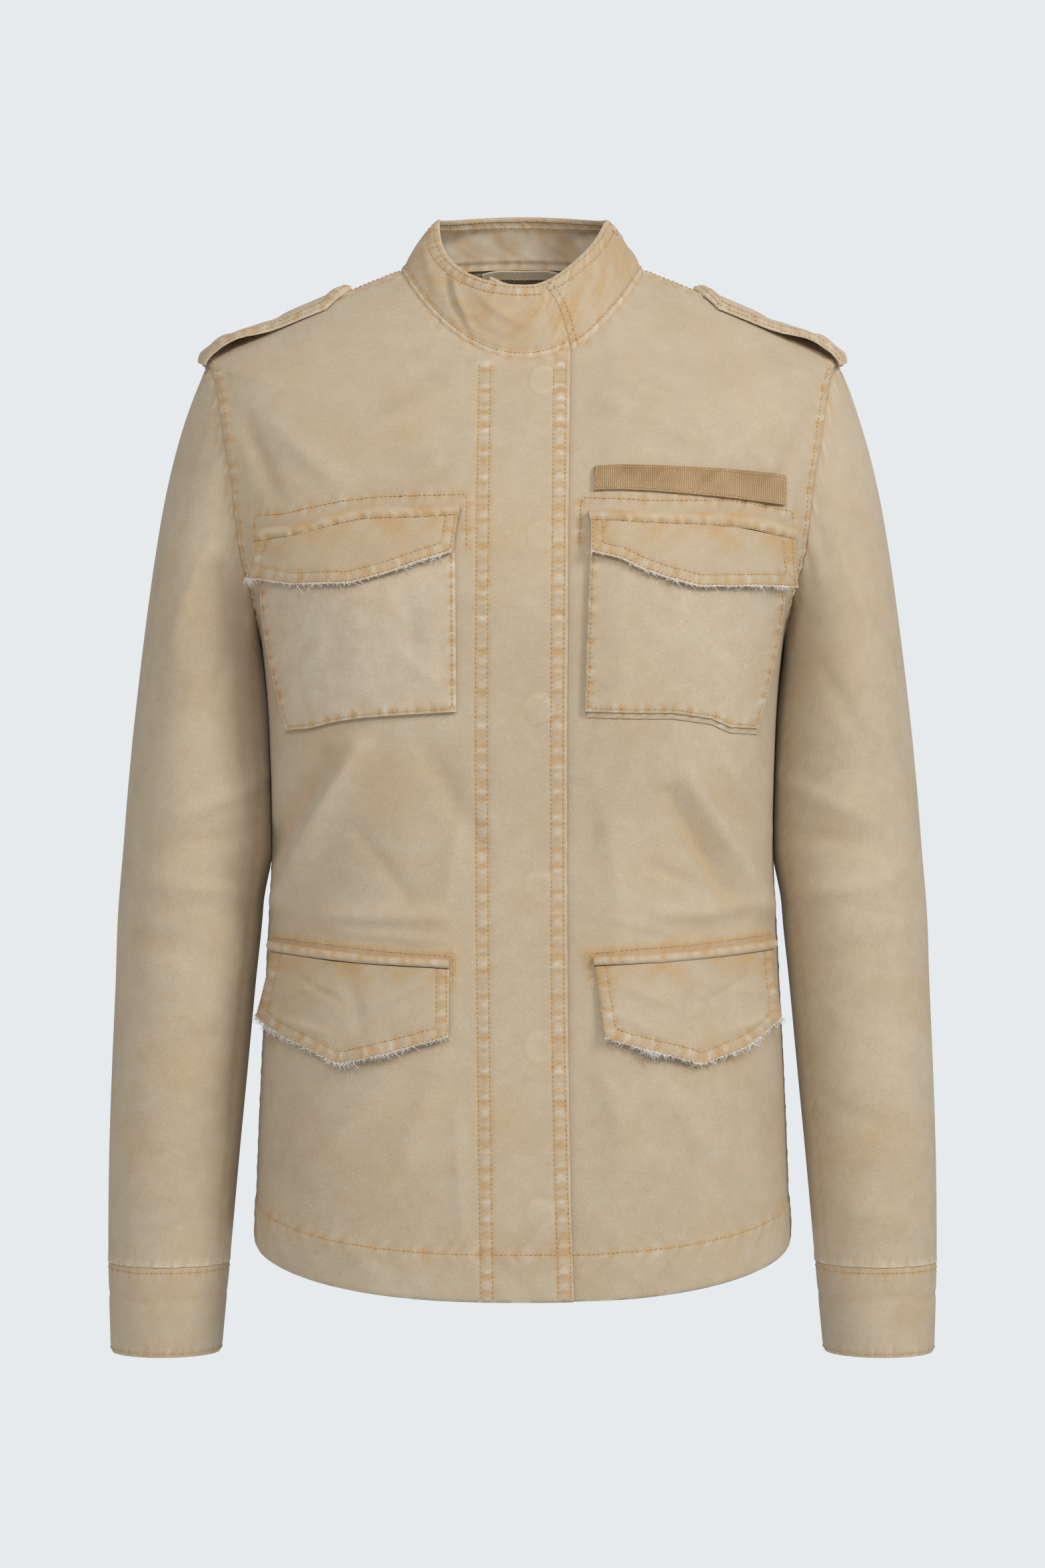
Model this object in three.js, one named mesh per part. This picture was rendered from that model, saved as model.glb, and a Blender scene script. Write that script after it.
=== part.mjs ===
// Field jacket in washed cotton twill, buttoned up and filled out as if worn, with no wearer.
// Millimetres, +Z up. The front faces -Y, the wearer's right is at -X, and the origin is midway
// between the two side neck points, where the shoulders and the neck carry the jacket.

import * as THREE from 'three';

// Cloth thicknesses and the gaps between pieces
const CLOTH = 1.4;
const FLAP_CLOTH = 2.0;
const COLLAR_CLOTH = 2.4;
const CUFF_CLOTH = 2.2;
const TAPE_CLOTH = 1.4;
const POCKET_CLOTH = 3.0;
const BAND_CLOTH = 4.4;
const WELT_CLOTH = 2.4;
const SEAM_GAP = 0.3;
const LAY_GAP = 0.8;
const HEM_EXTRA = 0.8;

// Heights on the side line: hem, top of the turned-up hem, underarm, shoulder tip, neck
const HEM = -609;
const HEM_TOP = -583;
const UNDERARM = -225;
const SHOULDER_TIP = -60;
const NECK = 0;

// The body's rings, one row each. A ring is named by its height on the side line.
// It reaches halfWidth to the side, frontDepth forward and backDepth back, and it climbs or
// falls to frontHeight and backHeight at the centre. Squareness 2 is an ellipse.
const RINGS = table(
  ['level', 'halfWidth', 'frontDepth', 'frontHeight', 'backDepth', 'backHeight', 'squareness'],
  [
    [-609, 167.5, 127, -634, 122, -626, 2.50],
    [-560, 166.0, 125, -580, 121, -572, 2.50],
    [-500, 163.5, 121, -512, 116, -506, 2.55],
    [-430, 160.0, 116, -438, 105, -434, 2.60],
    [-360, 157.0, 114, -364, 96, -361, 2.65],
    [-295, 158.5, 118, -296, 100, -295, 2.70],
    [-225, 165.0, 122, -224, 108, -223, 2.70],
    [-174, 186.0, 117, -180, 113, -172, 2.55],
    [-140, 195.0, 109, -150, 112, -140, 2.40],
    [-96, 203.0, 98, -119, 105, -99, 2.20],
    [-60, 199.0, 88, -97, 93, -62, 2.05],
    [-39, 164.0, 81, -84, 81, -37, 2.00],
    [-15, 113.0, 73, -71, 66, -10, 2.00],
    [0, 76.0, 68, -62, 53, 9, 2.00],
  ],
);
const CLIMB = 1.7;

// The armhole, as degrees that the seam stands forward and back of its own middle
const ARMHOLE = { frontLow: 21, frontHigh: 15, backLow: 18, backHigh: 14, roundness: 2.3 };
const SHOULDER_SEAM_FORWARD = 12;

// The fly: the wearer's right front laps over the left one, with snaps in between
const FLY_EDGE = 28;
const UNDER_EDGE = -26;
const UNDER_DROP = 4.4;
const COLLAR_DROP = 3.1;
const LAP_EASE = { start: 32, end: 62 };
const SNAP = { radius: 7.5, height: 2.0, across: 10.5, sides: 16 };
const SNAP_HEIGHTS = [-76, -173, -278, -384, -482, -581];

// The stand collar's top ring, and the slant and rounding of its lapped end
const COLLAR_TOP = { halfWidth: 54, frontDepth: 58, backDepth: 42, side: 33, front: -15, back: 40 };
const COLLAR_CLIMB = { over: 0.8, under: 1.6, back: 1.7 };
const COLLAR_BULGE = 2.0;
const COLLAR_END = { slant: 9, slantPower: 1.3, round: 8, roundPower: 8 };
const COLLAR_ROWS = 5;

// The sleeve's level rings below the cap, one row each, for the wearer's left arm
const ARM = table(
  ['height', 'middle', 'forward', 'halfWidth', 'halfDepth'],
  [
    [-262, 203.2, -2, 38.6, 63.0],
    [-300, 204.0, -2, 42.0, 61.0],
    [-350, 205.5, 0, 44.7, 58.0],
    [-400, 208.6, 3, 45.4, 55.0],
    [-450, 211.8, 6, 43.8, 52.5],
    [-500, 215.0, 9, 42.5, 50.0],
    [-560, 218.5, 13, 40.5, 46.0],
    [-621, 221.1, 17, 37.9, 41.0],
    [-677, 222.8, 19, 34.6, 37.0],
  ],
);
const CAP_END = -262;
const CUFF_SEAM = -621;
const CUFF_END = -677;
const CAP_LEAN = { out: 0.42, down: 0.9 };
const SLEEVE_AROUND = 330;

// Grid counts along each kind of piece
const HEM_ROWS = 17;
const ARMHOLE_ROWS = 10;
const SHOULDER_ROWS = 6;
const FRONT_COLUMNS = 12;
const BACK_COLUMNS = 18;
const CAP_ROWS = 6;
const ARM_ROWS = 14;
const CUFF_ROWS = 2;

// Folds, one row each: a soft ridge or trough along the line from one place to another.
// On the body a place is (across, height) as seen from the front or from behind.
const FOLD_COLUMNS = ['fromAcross', 'fromHeight', 'toAcross', 'toHeight', 'width', 'rise'];
const FRONT_FOLDS = table(FOLD_COLUMNS, [
  [-100, -301, -150, -396, 11, 4.0],
  [-121, -306, -158, -366, 9, -3.0],
  [100, -318, 150, -398, 11, 3.6],
  [88, -330, 132, -404, 10, -2.6],
  [-122, -404, -52, -402, 9, 2.4],
  [84, -402, 142, -398, 9, 2.4],
  [-60, -300, -20, -372, 13, -1.6],
  [62, -302, 34, -368, 13, -1.6],
  [-130, -560, -84, -508, 16, 2.2],
  [128, -556, 84, -505, 16, 2.2],
]);
const BACK_FOLDS = table(FOLD_COLUMNS, [
  [-150, -300, -70, -352, 12, 3.4],
  [152, -292, 64, -346, 12, 3.6],
  [-140, -372, -40, -398, 13, 2.8],
  [136, -366, 46, -404, 13, 2.6],
  [-150, -212, -112, -282, 12, 3.0],
  [150, -208, 116, -276, 12, 3.0],
  [-20, -330, 24, -338, 14, -2.2],
  [-96, -560, -82, -470, 18, 2.6],
  [92, -565, 78, -480, 18, 2.6],
]);
// On a sleeve a place is (around, height): 0 faces the body, a quarter of the way faces
// forward, a half faces outward.
const SLEEVE_FOLDS = table(FOLD_COLUMNS, [
  [20, -318, 92, -344, 10, 2.8],
  [34, -352, 120, -366, 11, -2.4],
  [24, -392, 108, -384, 10, 2.8],
  [40, -434, 128, -418, 12, -2.0],
  [300, -330, 226, -356, 12, 3.0],
  [306, -380, 214, -392, 12, 3.2],
  [296, -424, 232, -436, 12, 2.4],
  [60, -586, 130, -600, 11, 1.8],
  [86, -150, 104, -236, 13, 2.2],
  [250, -152, 236, -240, 13, 2.4],
]);

// Flat pieces on the fronts, as seen from the front: stations from one side of the piece to
// the other, each with its upper and its lower end
const STATION_COLUMNS = ['topAcross', 'topHeight', 'lowAcross', 'lowHeight'];
const CHEST_BAND_RIGHT = table(STATION_COLUMNS, [
  [-161, -168, -159, -175],
  [-114, -163, -113, -171],
  [-94, -157, -93, -165],
  [-37, -155.5, -39, -163],
]);
const CHEST_FLAP_RIGHT = table(STATION_COLUMNS, [
  [-159.5, -175.4, -163, -194],
  [-113, -171.4, -136, -199.5],
  [-93, -165.4, -102, -202.5],
  [-39, -163.4, -41.5, -185],
]);
const CHEST_POCKET_RIGHT = table(STATION_COLUMNS, [
  [-156, -176, -143, -290],
  [-112, -172, -107, -288],
  [-92, -166, -78, -284],
  [-41, -164, -39, -280],
]);
const CHEST_BAND_LEFT = table(STATION_COLUMNS, [
  [39, -158.5, 41, -165],
  [86, -161, 86, -168],
  [132, -161, 132, -168.5],
  [163, -167, 162, -173.5],
]);
const CHEST_FLAP_LEFT = table(STATION_COLUMNS, [
  [41, -165.4, 41, -183],
  [86, -168.4, 68, -191],
  [132, -168.9, 101, -204],
  [162, -173.9, 163, -200],
]);
const CHEST_POCKET_LEFT = table(STATION_COLUMNS, [
  [41, -166, 38, -280],
  [86, -169, 70, -281],
  [130, -169.5, 112, -285],
  [158, -174, 143, -289],
]);
const NAME_TAPE = table(STATION_COLUMNS, [
  [43, -130, 43, -146],
  [101, -131, 101, -147.5],
  [160, -134, 160, -152],
]);
const HIP_WELT_RIGHT = table(STATION_COLUMNS, [
  [-154, -419, -154.5, -424.6],
  [-112, -425, -112, -430.6],
  [-44, -428.5, -44, -434],
]);
const HIP_FLAP_RIGHT = table(STATION_COLUMNS, [
  [-153.5, -425, -161, -466],
  [-112, -431, -111, -493],
  [-44, -434.4, -44, -475],
]);
const HIP_WELT_LEFT = table(STATION_COLUMNS, [
  [43, -427, 43, -432.6],
  [112, -424, 112, -429.6],
  [153, -419, 153.5, -424.6],
]);
const HIP_FLAP_LEFT = table(STATION_COLUMNS, [
  [44, -433, 49, -477],
  [112, -430, 108, -493],
  [153, -425, 160, -467],
]);
const CHEST_FLAP_LIFT = 1.6;
const HIP_FLAP_LIFT = 3.4;

// The shoulder straps, as seen from above
const STRAP = { tip: 107, corner: 122, outer: 196, halfWidth: 21, tipHalfWidth: 1.5, lift: 3.4 };
const STRAP_COLUMNS = 9;
const STRAP_ROWS = 4;

// The hanger loop on the inside of the back neck
const LOOP = { halfLength: 25, width: 7, cloth: 1.6, bow: 2.6, below: -2 };

// Colours
const TWILL_COLOUR = '#c8b698';
const TWILL_DARK = '#bfab8b';
const TAPE_COLOUR = '#b29268';

/** Rows of numbers with named columns. */
function table(columns, rows) {
  return rows.map((row) => Object.fromEntries(columns.map((name, i) => [name, row[i]])));
}

/** A smooth curve through a table's column that never overshoots its rows. */
function curveThrough(rows, key, value) {
  const sorted = [...rows].sort((a, b) => a[key] - b[key]);
  const xs = sorted.map((row) => row[key]);
  const ys = sorted.map((row) => row[value]);
  const steps = xs.slice(1).map((x, i) => x - xs[i]);
  const slopes = steps.map((step, i) => (ys[i + 1] - ys[i]) / step);
  const tangents = xs.map((x, i) => {
    if (i === 0) return slopes[0];
    if (i === xs.length - 1) return slopes[i - 1];
    if (slopes[i - 1] * slopes[i] <= 0) return 0;
    const before = 2 * steps[i] + steps[i - 1];
    const after = steps[i] + 2 * steps[i - 1];
    return (before + after) / (before / slopes[i - 1] + after / slopes[i]);
  });
  return (at) => {
    const x = THREE.MathUtils.clamp(at, xs[0], xs[xs.length - 1]);
    let i = xs.findIndex((limit) => limit > x) - 1;
    if (i < 0) i = xs.length - 2;
    const t = (x - xs[i]) / steps[i];
    const rest = 1 - t;
    return (1 + 2 * t) * rest * rest * ys[i] + t * rest * rest * steps[i] * tangents[i]
      + t * t * (3 - 2 * t) * ys[i + 1] - t * t * rest * steps[i] * tangents[i + 1];
  };
}

const bodyCurve = Object.fromEntries(
  ['halfWidth', 'frontDepth', 'frontHeight', 'backDepth', 'backHeight', 'squareness']
    .map((name) => [name, curveThrough(RINGS, 'level', name)]),
);
const armCurve = Object.fromEntries(
  ['middle', 'forward', 'halfWidth', 'halfDepth']
    .map((name) => [name, curveThrough(ARM, 'height', name)]),
);

/** The body's form at a bearing from the front centre and a ring's level. */
function bodyPoint(bearing, level) {
  const ahead = Math.cos(bearing) >= 0;
  const halfWidth = bodyCurve.halfWidth(level);
  const depth = ahead ? bodyCurve.frontDepth(level) : bodyCurve.backDepth(level);
  const centre = ahead ? bodyCurve.frontHeight(level) : bodyCurve.backHeight(level);
  const power = bodyCurve.squareness(level);
  const sine = Math.abs(Math.sin(bearing)) / halfWidth;
  const cosine = Math.abs(Math.cos(bearing)) / depth;
  const reach = (sine ** power + cosine ** power) ** (-1 / power);
  const y = -reach * Math.cos(bearing);
  const share = (Math.abs(y) / depth) ** CLIMB;
  return new THREE.Vector3(reach * Math.sin(bearing), y, level + (centre - level) * share);
}

/** The outward direction of the body's form. */
function bodyNormal(bearing, level) {
  const turn = 1e-3;
  const low = Math.max(level - 1, HEM);
  const high = Math.min(level + 1, NECK);
  const around = bodyPoint(bearing + turn, level).sub(bodyPoint(bearing - turn, level));
  const upward = bodyPoint(bearing, high).sub(bodyPoint(bearing, low));
  return around.cross(upward).normalize();
}

/** How far the folds of a table push a place out. */
function foldRise(folds, across, height) {
  let rise = 0;
  for (const fold of folds) {
    const along = new THREE.Vector2(fold.toAcross - fold.fromAcross, fold.toHeight - fold.fromHeight);
    const offset = new THREE.Vector2(across - fold.fromAcross, height - fold.fromHeight);
    const share = THREE.MathUtils.clamp(offset.dot(along) / along.lengthSq(), 0, 1);
    const distance = offset.sub(along.multiplyScalar(share)).length();
    rise += fold.rise * Math.exp(-((distance / fold.width) ** 2));
  }
  return rise;
}

/** The cloth's outer face on the body, with its folds and moved out by some distance. */
function bodySkin(bearing, level, out = 0) {
  const point = bodyPoint(bearing, level);
  const normal = bodyNormal(bearing, level);
  const folds = Math.cos(bearing) >= 0 ? FRONT_FOLDS : BACK_FOLDS;
  const fade = THREE.MathUtils.smoothstep(Math.abs(point.y), 0, 30);
  const rise = foldRise(folds, point.x, point.z) * fade;
  return { point: point.addScaledVector(normal, out + rise), normal };
}

/** The bearing at which a ring crosses a line at some distance from the centre. */
function bearingAcross(across, level) {
  const power = bodyCurve.squareness(level);
  const side = Math.min(Math.abs(across) / bodyCurve.halfWidth(level), 1);
  const ahead = bodyCurve.frontDepth(level) * (1 - side ** power) ** (1 / power);
  return Math.atan2(across, ahead);
}

/** The bearing of the armhole or side or shoulder seam at a level, on the +X side. */
function seamBearing(level, panel) {
  const quarter = Math.PI / 2;
  const forward = Math.atan(SHOULDER_SEAM_FORWARD / bodyCurve.halfWidth(level));
  if (level <= UNDERARM) return quarter;
  if (level >= SHOULDER_TIP) return quarter - forward;
  const climb = (level - UNDERARM) / (SHOULDER_TIP - UNDERARM);
  const middle = quarter - forward * THREE.MathUtils.smoothstep(climb, 0, 1);
  const spread = (1 - Math.abs(2 * climb - 1) ** ARMHOLE.roundness) ** (1 / ARMHOLE.roundness);
  const low = panel === 'front' ? -ARMHOLE.frontLow : ARMHOLE.backLow;
  const high = panel === 'front' ? -ARMHOLE.frontHigh : ARMHOLE.backHigh;
  return middle + THREE.MathUtils.degToRad(THREE.MathUtils.lerp(low, high, climb)) * spread;
}

/** The levels of the panels' rows from hem to neck. */
function panelLevels() {
  const levels = [HEM];
  for (let i = 0; i <= HEM_ROWS; i += 1) {
    levels.push(THREE.MathUtils.lerp(HEM_TOP, UNDERARM, i / HEM_ROWS));
  }
  for (let i = 1; i <= ARMHOLE_ROWS; i += 1) {
    const swing = (1 - Math.cos((Math.PI * i) / ARMHOLE_ROWS)) / 2;
    levels.push(THREE.MathUtils.lerp(UNDERARM, SHOULDER_TIP, swing));
  }
  for (let i = 1; i <= SHOULDER_ROWS; i += 1) {
    levels.push(THREE.MathUtils.lerp(SHOULDER_TIP, NECK, i / SHOULDER_ROWS));
  }
  return levels;
}

/** Whether the hem's turned-up cloth thickens this level. */
function hemThickness(level) {
  return level <= HEM_TOP - 1 ? HEM_EXTRA : 0;
}

/** How far the lapped-under front or collar is set in at some distance from the centre. */
function lapDrop(across, drop) {
  return -drop * (1 - THREE.MathUtils.smoothstep(across, LAP_EASE.start, LAP_EASE.end));
}

/** The directions across a row of seam points, within the surface and away from the panel. */
function awayFrom(points, normals, inside) {
  return points.map((point, i) => {
    const before = points[Math.max(i - 1, 0)];
    const after = points[Math.min(i + 1, points.length - 1)];
    const away = after.clone().sub(before).cross(normals[i]).normalize();
    return away.dot(inside[i].clone().sub(point)) > 0 ? away.negate() : away;
  });
}

/** A closed wall from a grid of outer points, with inner points set in along the directions. */
function wallGeometry(outer, inward, thickness, closed = false) {
  const rows = outer.length;
  const columns = outer[0].length;
  const positions = [];
  for (const grid of [0, 1]) {
    for (let j = 0; j < rows; j += 1) {
      for (let i = 0; i < columns; i += 1) {
        const point = outer[j][i].clone().addScaledVector(inward[j][i], -grid * thickness);
        positions.push(point.x, point.y, point.z);
      }
    }
  }
  const at = (grid, j, i) => grid * rows * columns + j * columns + (i % columns);
  const index = [];
  const quad = (a, b, c, d) => index.push(a, b, c, a, c, d);
  const lastColumn = closed ? columns : columns - 1;
  for (let j = 0; j < rows - 1; j += 1) {
    for (let i = 0; i < lastColumn; i += 1) {
      quad(at(0, j, i), at(0, j, i + 1), at(0, j + 1, i + 1), at(0, j + 1, i));
      quad(at(1, j, i), at(1, j + 1, i), at(1, j + 1, i + 1), at(1, j, i + 1));
    }
  }
  for (let i = 0; i < lastColumn; i += 1) {
    const last = rows - 1;
    quad(at(0, 0, i), at(1, 0, i), at(1, 0, i + 1), at(0, 0, i + 1));
    quad(at(0, last, i), at(0, last, i + 1), at(1, last, i + 1), at(1, last, i));
  }
  for (let j = 0; !closed && j < rows - 1; j += 1) {
    const last = columns - 1;
    quad(at(0, j, 0), at(0, j + 1, 0), at(1, j + 1, 0), at(1, j, 0));
    quad(at(0, j, last), at(1, j, last), at(1, j + 1, last), at(0, j + 1, last));
  }
  const geometry = new THREE.BufferGeometry();
  geometry.setAttribute('position', new THREE.Float32BufferAttribute(positions, 3));
  geometry.setIndex(signedVolume(positions, index) < 0 ? flipped(index) : index);
  return geometry;
}

/** The volume that a closed set of triangles holds, negative when they face inward. */
function signedVolume(positions, index) {
  let volume = 0;
  const corner = (i) => new THREE.Vector3().fromArray(positions, 3 * index[i]);
  for (let i = 0; i < index.length; i += 3) {
    volume += corner(i).dot(corner(i + 1).cross(corner(i + 2))) / 6;
  }
  return volume;
}

/** The same triangles facing the other way. */
function flipped(index) {
  const turned = [...index];
  for (let i = 0; i < index.length; i += 3) {
    [turned[i], turned[i + 1]] = [index[i + 1], index[i]];
  }
  return turned;
}

/** A named piece with its own material. */
function piece(name, geometry, colour = TWILL_COLOUR, roughness = 0.9) {
  const material = new THREE.MeshStandardMaterial({ color: colour, roughness, metalness: 0 });
  geometry.computeVertexNormals();
  const mesh = new THREE.Mesh(geometry, material);
  mesh.name = name;
  return mesh;
}

/** A panel's grid of places, from its inner edge to its outer seam, hem to neck. */
function panelPlaces(panel) {
  return panelLevels().map((level) => {
    const seam = seamBearing(level, panel === 'back' ? 'back' : 'front');
    const columns = panel === 'back' ? BACK_COLUMNS : FRONT_COLUMNS;
    const edges = {
      front_right: [bearingAcross(FLY_EDGE, level), -seam],
      front_left: [bearingAcross(UNDER_EDGE, level), seam],
      back: [2 * Math.PI - seam, seam],
    }[panel];
    return Array.from({ length: columns + 1 }, (_, i) => ({
      bearing: THREE.MathUtils.lerp(edges[0], edges[1], i / columns),
      level,
    }));
  });
}

/** The outer points and the inward directions of a body panel, before its seams are drawn in. */
function panelSkin(panel) {
  const places = panelPlaces(panel);
  const skins = places.map((row) => row.map(({ bearing, level }) => {
    const across = bodyPoint(bearing, level).x;
    const drop = panel === 'front_left' ? lapDrop(across, UNDER_DROP) : 0;
    return bodySkin(bearing, level, drop + hemThickness(level));
  }));
  return {
    points: skins.map((row) => row.map((skin) => skin.point)),
    normals: skins.map((row) => row.map((skin) => skin.normal)),
  };
}

/** One column of a grid. */
function column(grid, i) {
  return grid.map((row) => row.at(i));
}

/** The seam along one column of a panel: its points, normals and directions across. */
function panelSeam(skin, i) {
  const inside = column(skin.points, i === 0 ? 1 : -2);
  const points = column(skin.points, i);
  const normals = column(skin.normals, i);
  return { points, normals, away: awayFrom(points, normals, inside) };
}

/** The seam along the neck edge of a panel. */
function neckSeam(skin) {
  const points = skin.points.at(-1);
  const normals = skin.normals.at(-1);
  return { points, normals, away: awayFrom(points, normals, skin.points.at(-2)) };
}

/** A body panel as a closed wall, drawn in by half a gap at its seams and at the neck. */
function panelGeometry(panel, skin) {
  const points = skin.points.map((row) => row.map((point) => point.clone()));
  const seams = panel === 'back' ? [0, -1] : [-1];
  for (const i of seams) {
    const { away } = panelSeam(skin, i);
    points.forEach((row, j) => row.at(i).addScaledVector(away[j], -SEAM_GAP / 2));
  }
  const neck = neckSeam(skin);
  points.at(-1).forEach((point, i) => point.addScaledVector(neck.away[i], -SEAM_GAP / 2));
  return wallGeometry(points, skin.normals, CLOTH);
}

/** The armhole on one side as a closed ring of seam points: up the front, down the back. */
function armholeRing(sign, skins) {
  const levels = panelLevels();
  const first = levels.indexOf(UNDERARM);
  const last = first + ARMHOLE_ROWS;
  const front = panelSeam(sign < 0 ? skins.front_right : skins.front_left, -1);
  const back = panelSeam(skins.back, sign < 0 ? 0 : -1);
  const ring = [];
  for (let j = first; j <= last; j += 1) {
    const away = front.away[j].clone();
    if (j === first || j === last) away.add(back.away[j]).normalize();
    ring.push({ point: front.points[j], normal: front.normals[j], away });
  }
  for (let j = last - 1; j > first; j -= 1) {
    ring.push({ point: back.points[j], normal: back.normals[j], away: back.away[j] });
  }
  return ring;
}

/** How far round the sleeve each seam point lies, from 0 at the underarm over the front to 1. */
function sharesAround(ring) {
  const half = ARMHOLE_ROWS;
  const lengths = ring.map((stop, i) => stop.point.distanceTo(ring[(i + 1) % ring.length].point));
  const sum = (from, to) => lengths.slice(from, to).reduce((total, length) => total + length, 0);
  return ring.map((stop, i) => (i <= half
    ? 0.5 * (sum(0, i) / sum(0, half))
    : 0.5 + 0.5 * (sum(half, i) / sum(half, ring.length))));
}

/** A place on the sleeve's level ring, at a share of the way round and a height. */
function armPoint(sign, share, height) {
  const turn = 2 * Math.PI * share;
  const across = armCurve.middle(height) - armCurve.halfWidth(height) * Math.cos(turn);
  const y = -armCurve.forward(height) - armCurve.halfDepth(height) * Math.sin(turn);
  return new THREE.Vector3(sign * across, y, height);
}

/** The outward directions of a closed tube's grid. */
function tubeNormals(grid) {
  const columns = grid[0].length;
  return grid.map((row, j) => row.map((point, i) => {
    const around = row[(i + 1) % columns].clone().sub(row[(i + columns - 1) % columns]);
    const below = grid[Math.min(j + 1, grid.length - 1)][i];
    const above = grid[Math.max(j - 1, 0)][i];
    const middle = row.reduce((sum, other) => sum.add(other), new THREE.Vector3())
      .divideScalar(columns);
    const normal = around.cross(below.clone().sub(above)).normalize();
    return normal.dot(point.clone().sub(middle)) < 0 ? normal.negate() : normal;
  }));
}

/** The sleeve's outer grid: a cap that leaves the armhole and bends into the level rings. */
function sleeveGrid(sign, ring, shares) {
  const starts = ring.map(({ point, away }) => point.clone().addScaledVector(away, SEAM_GAP / 2));
  const lean = new THREE.Vector3(sign * CAP_LEAN.out, 0, -CAP_LEAN.down);
  const grid = [];
  for (let k = 0; k < CAP_ROWS; k += 1) {
    const t = k / CAP_ROWS;
    const rest = 1 - t;
    grid.push(starts.map((start, i) => {
      const end = armPoint(sign, shares[i], CAP_END);
      const next = armPoint(sign, shares[i], CAP_END - 10);
      const chord = start.distanceTo(end);
      const arrival = next.sub(end).normalize();
      return start.clone().multiplyScalar((1 + 2 * t) * rest * rest)
        .addScaledVector(lean, chord * t * rest * rest)
        .addScaledVector(end, t * t * (3 - 2 * t))
        .addScaledVector(arrival, -chord * t * t * rest);
    }));
  }
  for (let k = 0; k <= ARM_ROWS; k += 1) {
    const height = THREE.MathUtils.lerp(CAP_END, CUFF_SEAM + SEAM_GAP / 2, k / ARM_ROWS);
    grid.push(shares.map((share) => armPoint(sign, share, height)));
  }
  return grid;
}

/** A sleeve as a closed wall round its hollow, open at the armhole and at the cuff. */
function sleeveGeometry(sign, ring, shares) {
  const smooth = sleeveGrid(sign, ring, shares);
  const normals = tubeNormals(smooth);
  const outer = smooth.map((row, j) => row.map((point, i) => {
    const ends = Math.min(j / CAP_ROWS, (smooth.length - 1 - j) / CUFF_ROWS, 1);
    const rise = foldRise(SLEEVE_FOLDS, shares[i] * SLEEVE_AROUND, point.z) * ends;
    return point.clone().addScaledVector(normals[j][i], rise);
  }));
  const inward = normals.map((row) => [...row]);
  inward[0] = normals[0].map((normal, i) => {
    const mean = normal.clone().add(ring[i].normal).normalize();
    const slip = Math.max(mean.dot(ring[i].away), 0);
    return mean.addScaledVector(ring[i].away, -slip).normalize();
  });
  return wallGeometry(outer, inward, CLOTH, true);
}

/** A cuff as a short closed wall below its sleeve. */
function cuffGeometry(sign, shares) {
  const outer = [];
  for (let k = 0; k <= CUFF_ROWS; k += 1) {
    const height = THREE.MathUtils.lerp(CUFF_SEAM - SEAM_GAP / 2, CUFF_END, k / CUFF_ROWS);
    outer.push(shares.map((share) => armPoint(sign, share, height)));
  }
  return wallGeometry(outer, tubeNormals(outer), CUFF_CLOTH, true);
}

/** The collar's top edge at a bearing. The side tells the lapped-over end from the other. */
function collarTop(bearing, side) {
  const ahead = Math.cos(bearing) >= 0;
  const depth = ahead ? COLLAR_TOP.frontDepth : COLLAR_TOP.backDepth;
  const centre = ahead ? COLLAR_TOP.front : COLLAR_TOP.back;
  const reach = Math.hypot(Math.sin(bearing) / COLLAR_TOP.halfWidth, Math.cos(bearing) / depth) ** -1;
  const y = -reach * Math.cos(bearing);
  const share = (Math.abs(y) / depth) ** COLLAR_CLIMB[ahead ? side : 'back'];
  const height = THREE.MathUtils.lerp(COLLAR_TOP.side, centre, share);
  return new THREE.Vector3(reach * Math.sin(bearing), y, height);
}

/** The stand collar as one closed wall, from its lapped-over end round the back. */
function collarGeometry(skins) {
  const parts = ['front_right', 'back', 'front_left'].map((panel) => {
    const bearings = panelPlaces(panel).at(-1).map((place) => place.bearing);
    const neck = neckSeam(skins[panel]);
    return bearings.map((bearing, i) => ({ panel, bearing, away: neck.away[i] }));
  });
  parts[0].forEach((stop, i) => { stop.endShare = 1 - i / FRONT_COLUMNS; });
  const stops = [...parts[0], ...parts[1].slice(1, -1), ...parts[2].reverse()];
  const outer = [];
  const inward = [];
  for (let k = 0; k <= COLLAR_ROWS; k += 1) {
    const climb = k / COLLAR_ROWS;
    const cut = COLLAR_END.slant * climb ** COLLAR_END.slantPower
      + COLLAR_END.round * climb ** COLLAR_END.roundPower;
    const swing = bearingAcross(FLY_EDGE, NECK) - bearingAcross(FLY_EDGE - cut, NECK);
    const row = stops.map((stop) => {
      const bearing = stop.bearing - swing * (stop.endShare ?? 0);
      const low = bodyPoint(bearing, NECK);
      const drop = stop.panel === 'front_left' ? lapDrop(low.x, COLLAR_DROP) : 0;
      const side = stop.panel === 'front_left' ? 'under' : 'over';
      const bulge = COLLAR_BULGE * Math.sin(Math.PI * climb);
      const level = new THREE.Vector3(Math.sin(bearing), -Math.cos(bearing), 0);
      const point = low.addScaledVector(stop.away, (SEAM_GAP / 2) * (1 - climb))
        .lerp(collarTop(bearing, side), climb)
        .addScaledVector(level, drop + bulge);
      return { point, normal: level.setZ(0.3).normalize() };
    });
    outer.push(row.map((stop) => stop.point));
    inward.push(row.map((stop) => stop.normal));
  }
  return wallGeometry(outer, inward, COLLAR_CLOTH);
}

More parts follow.
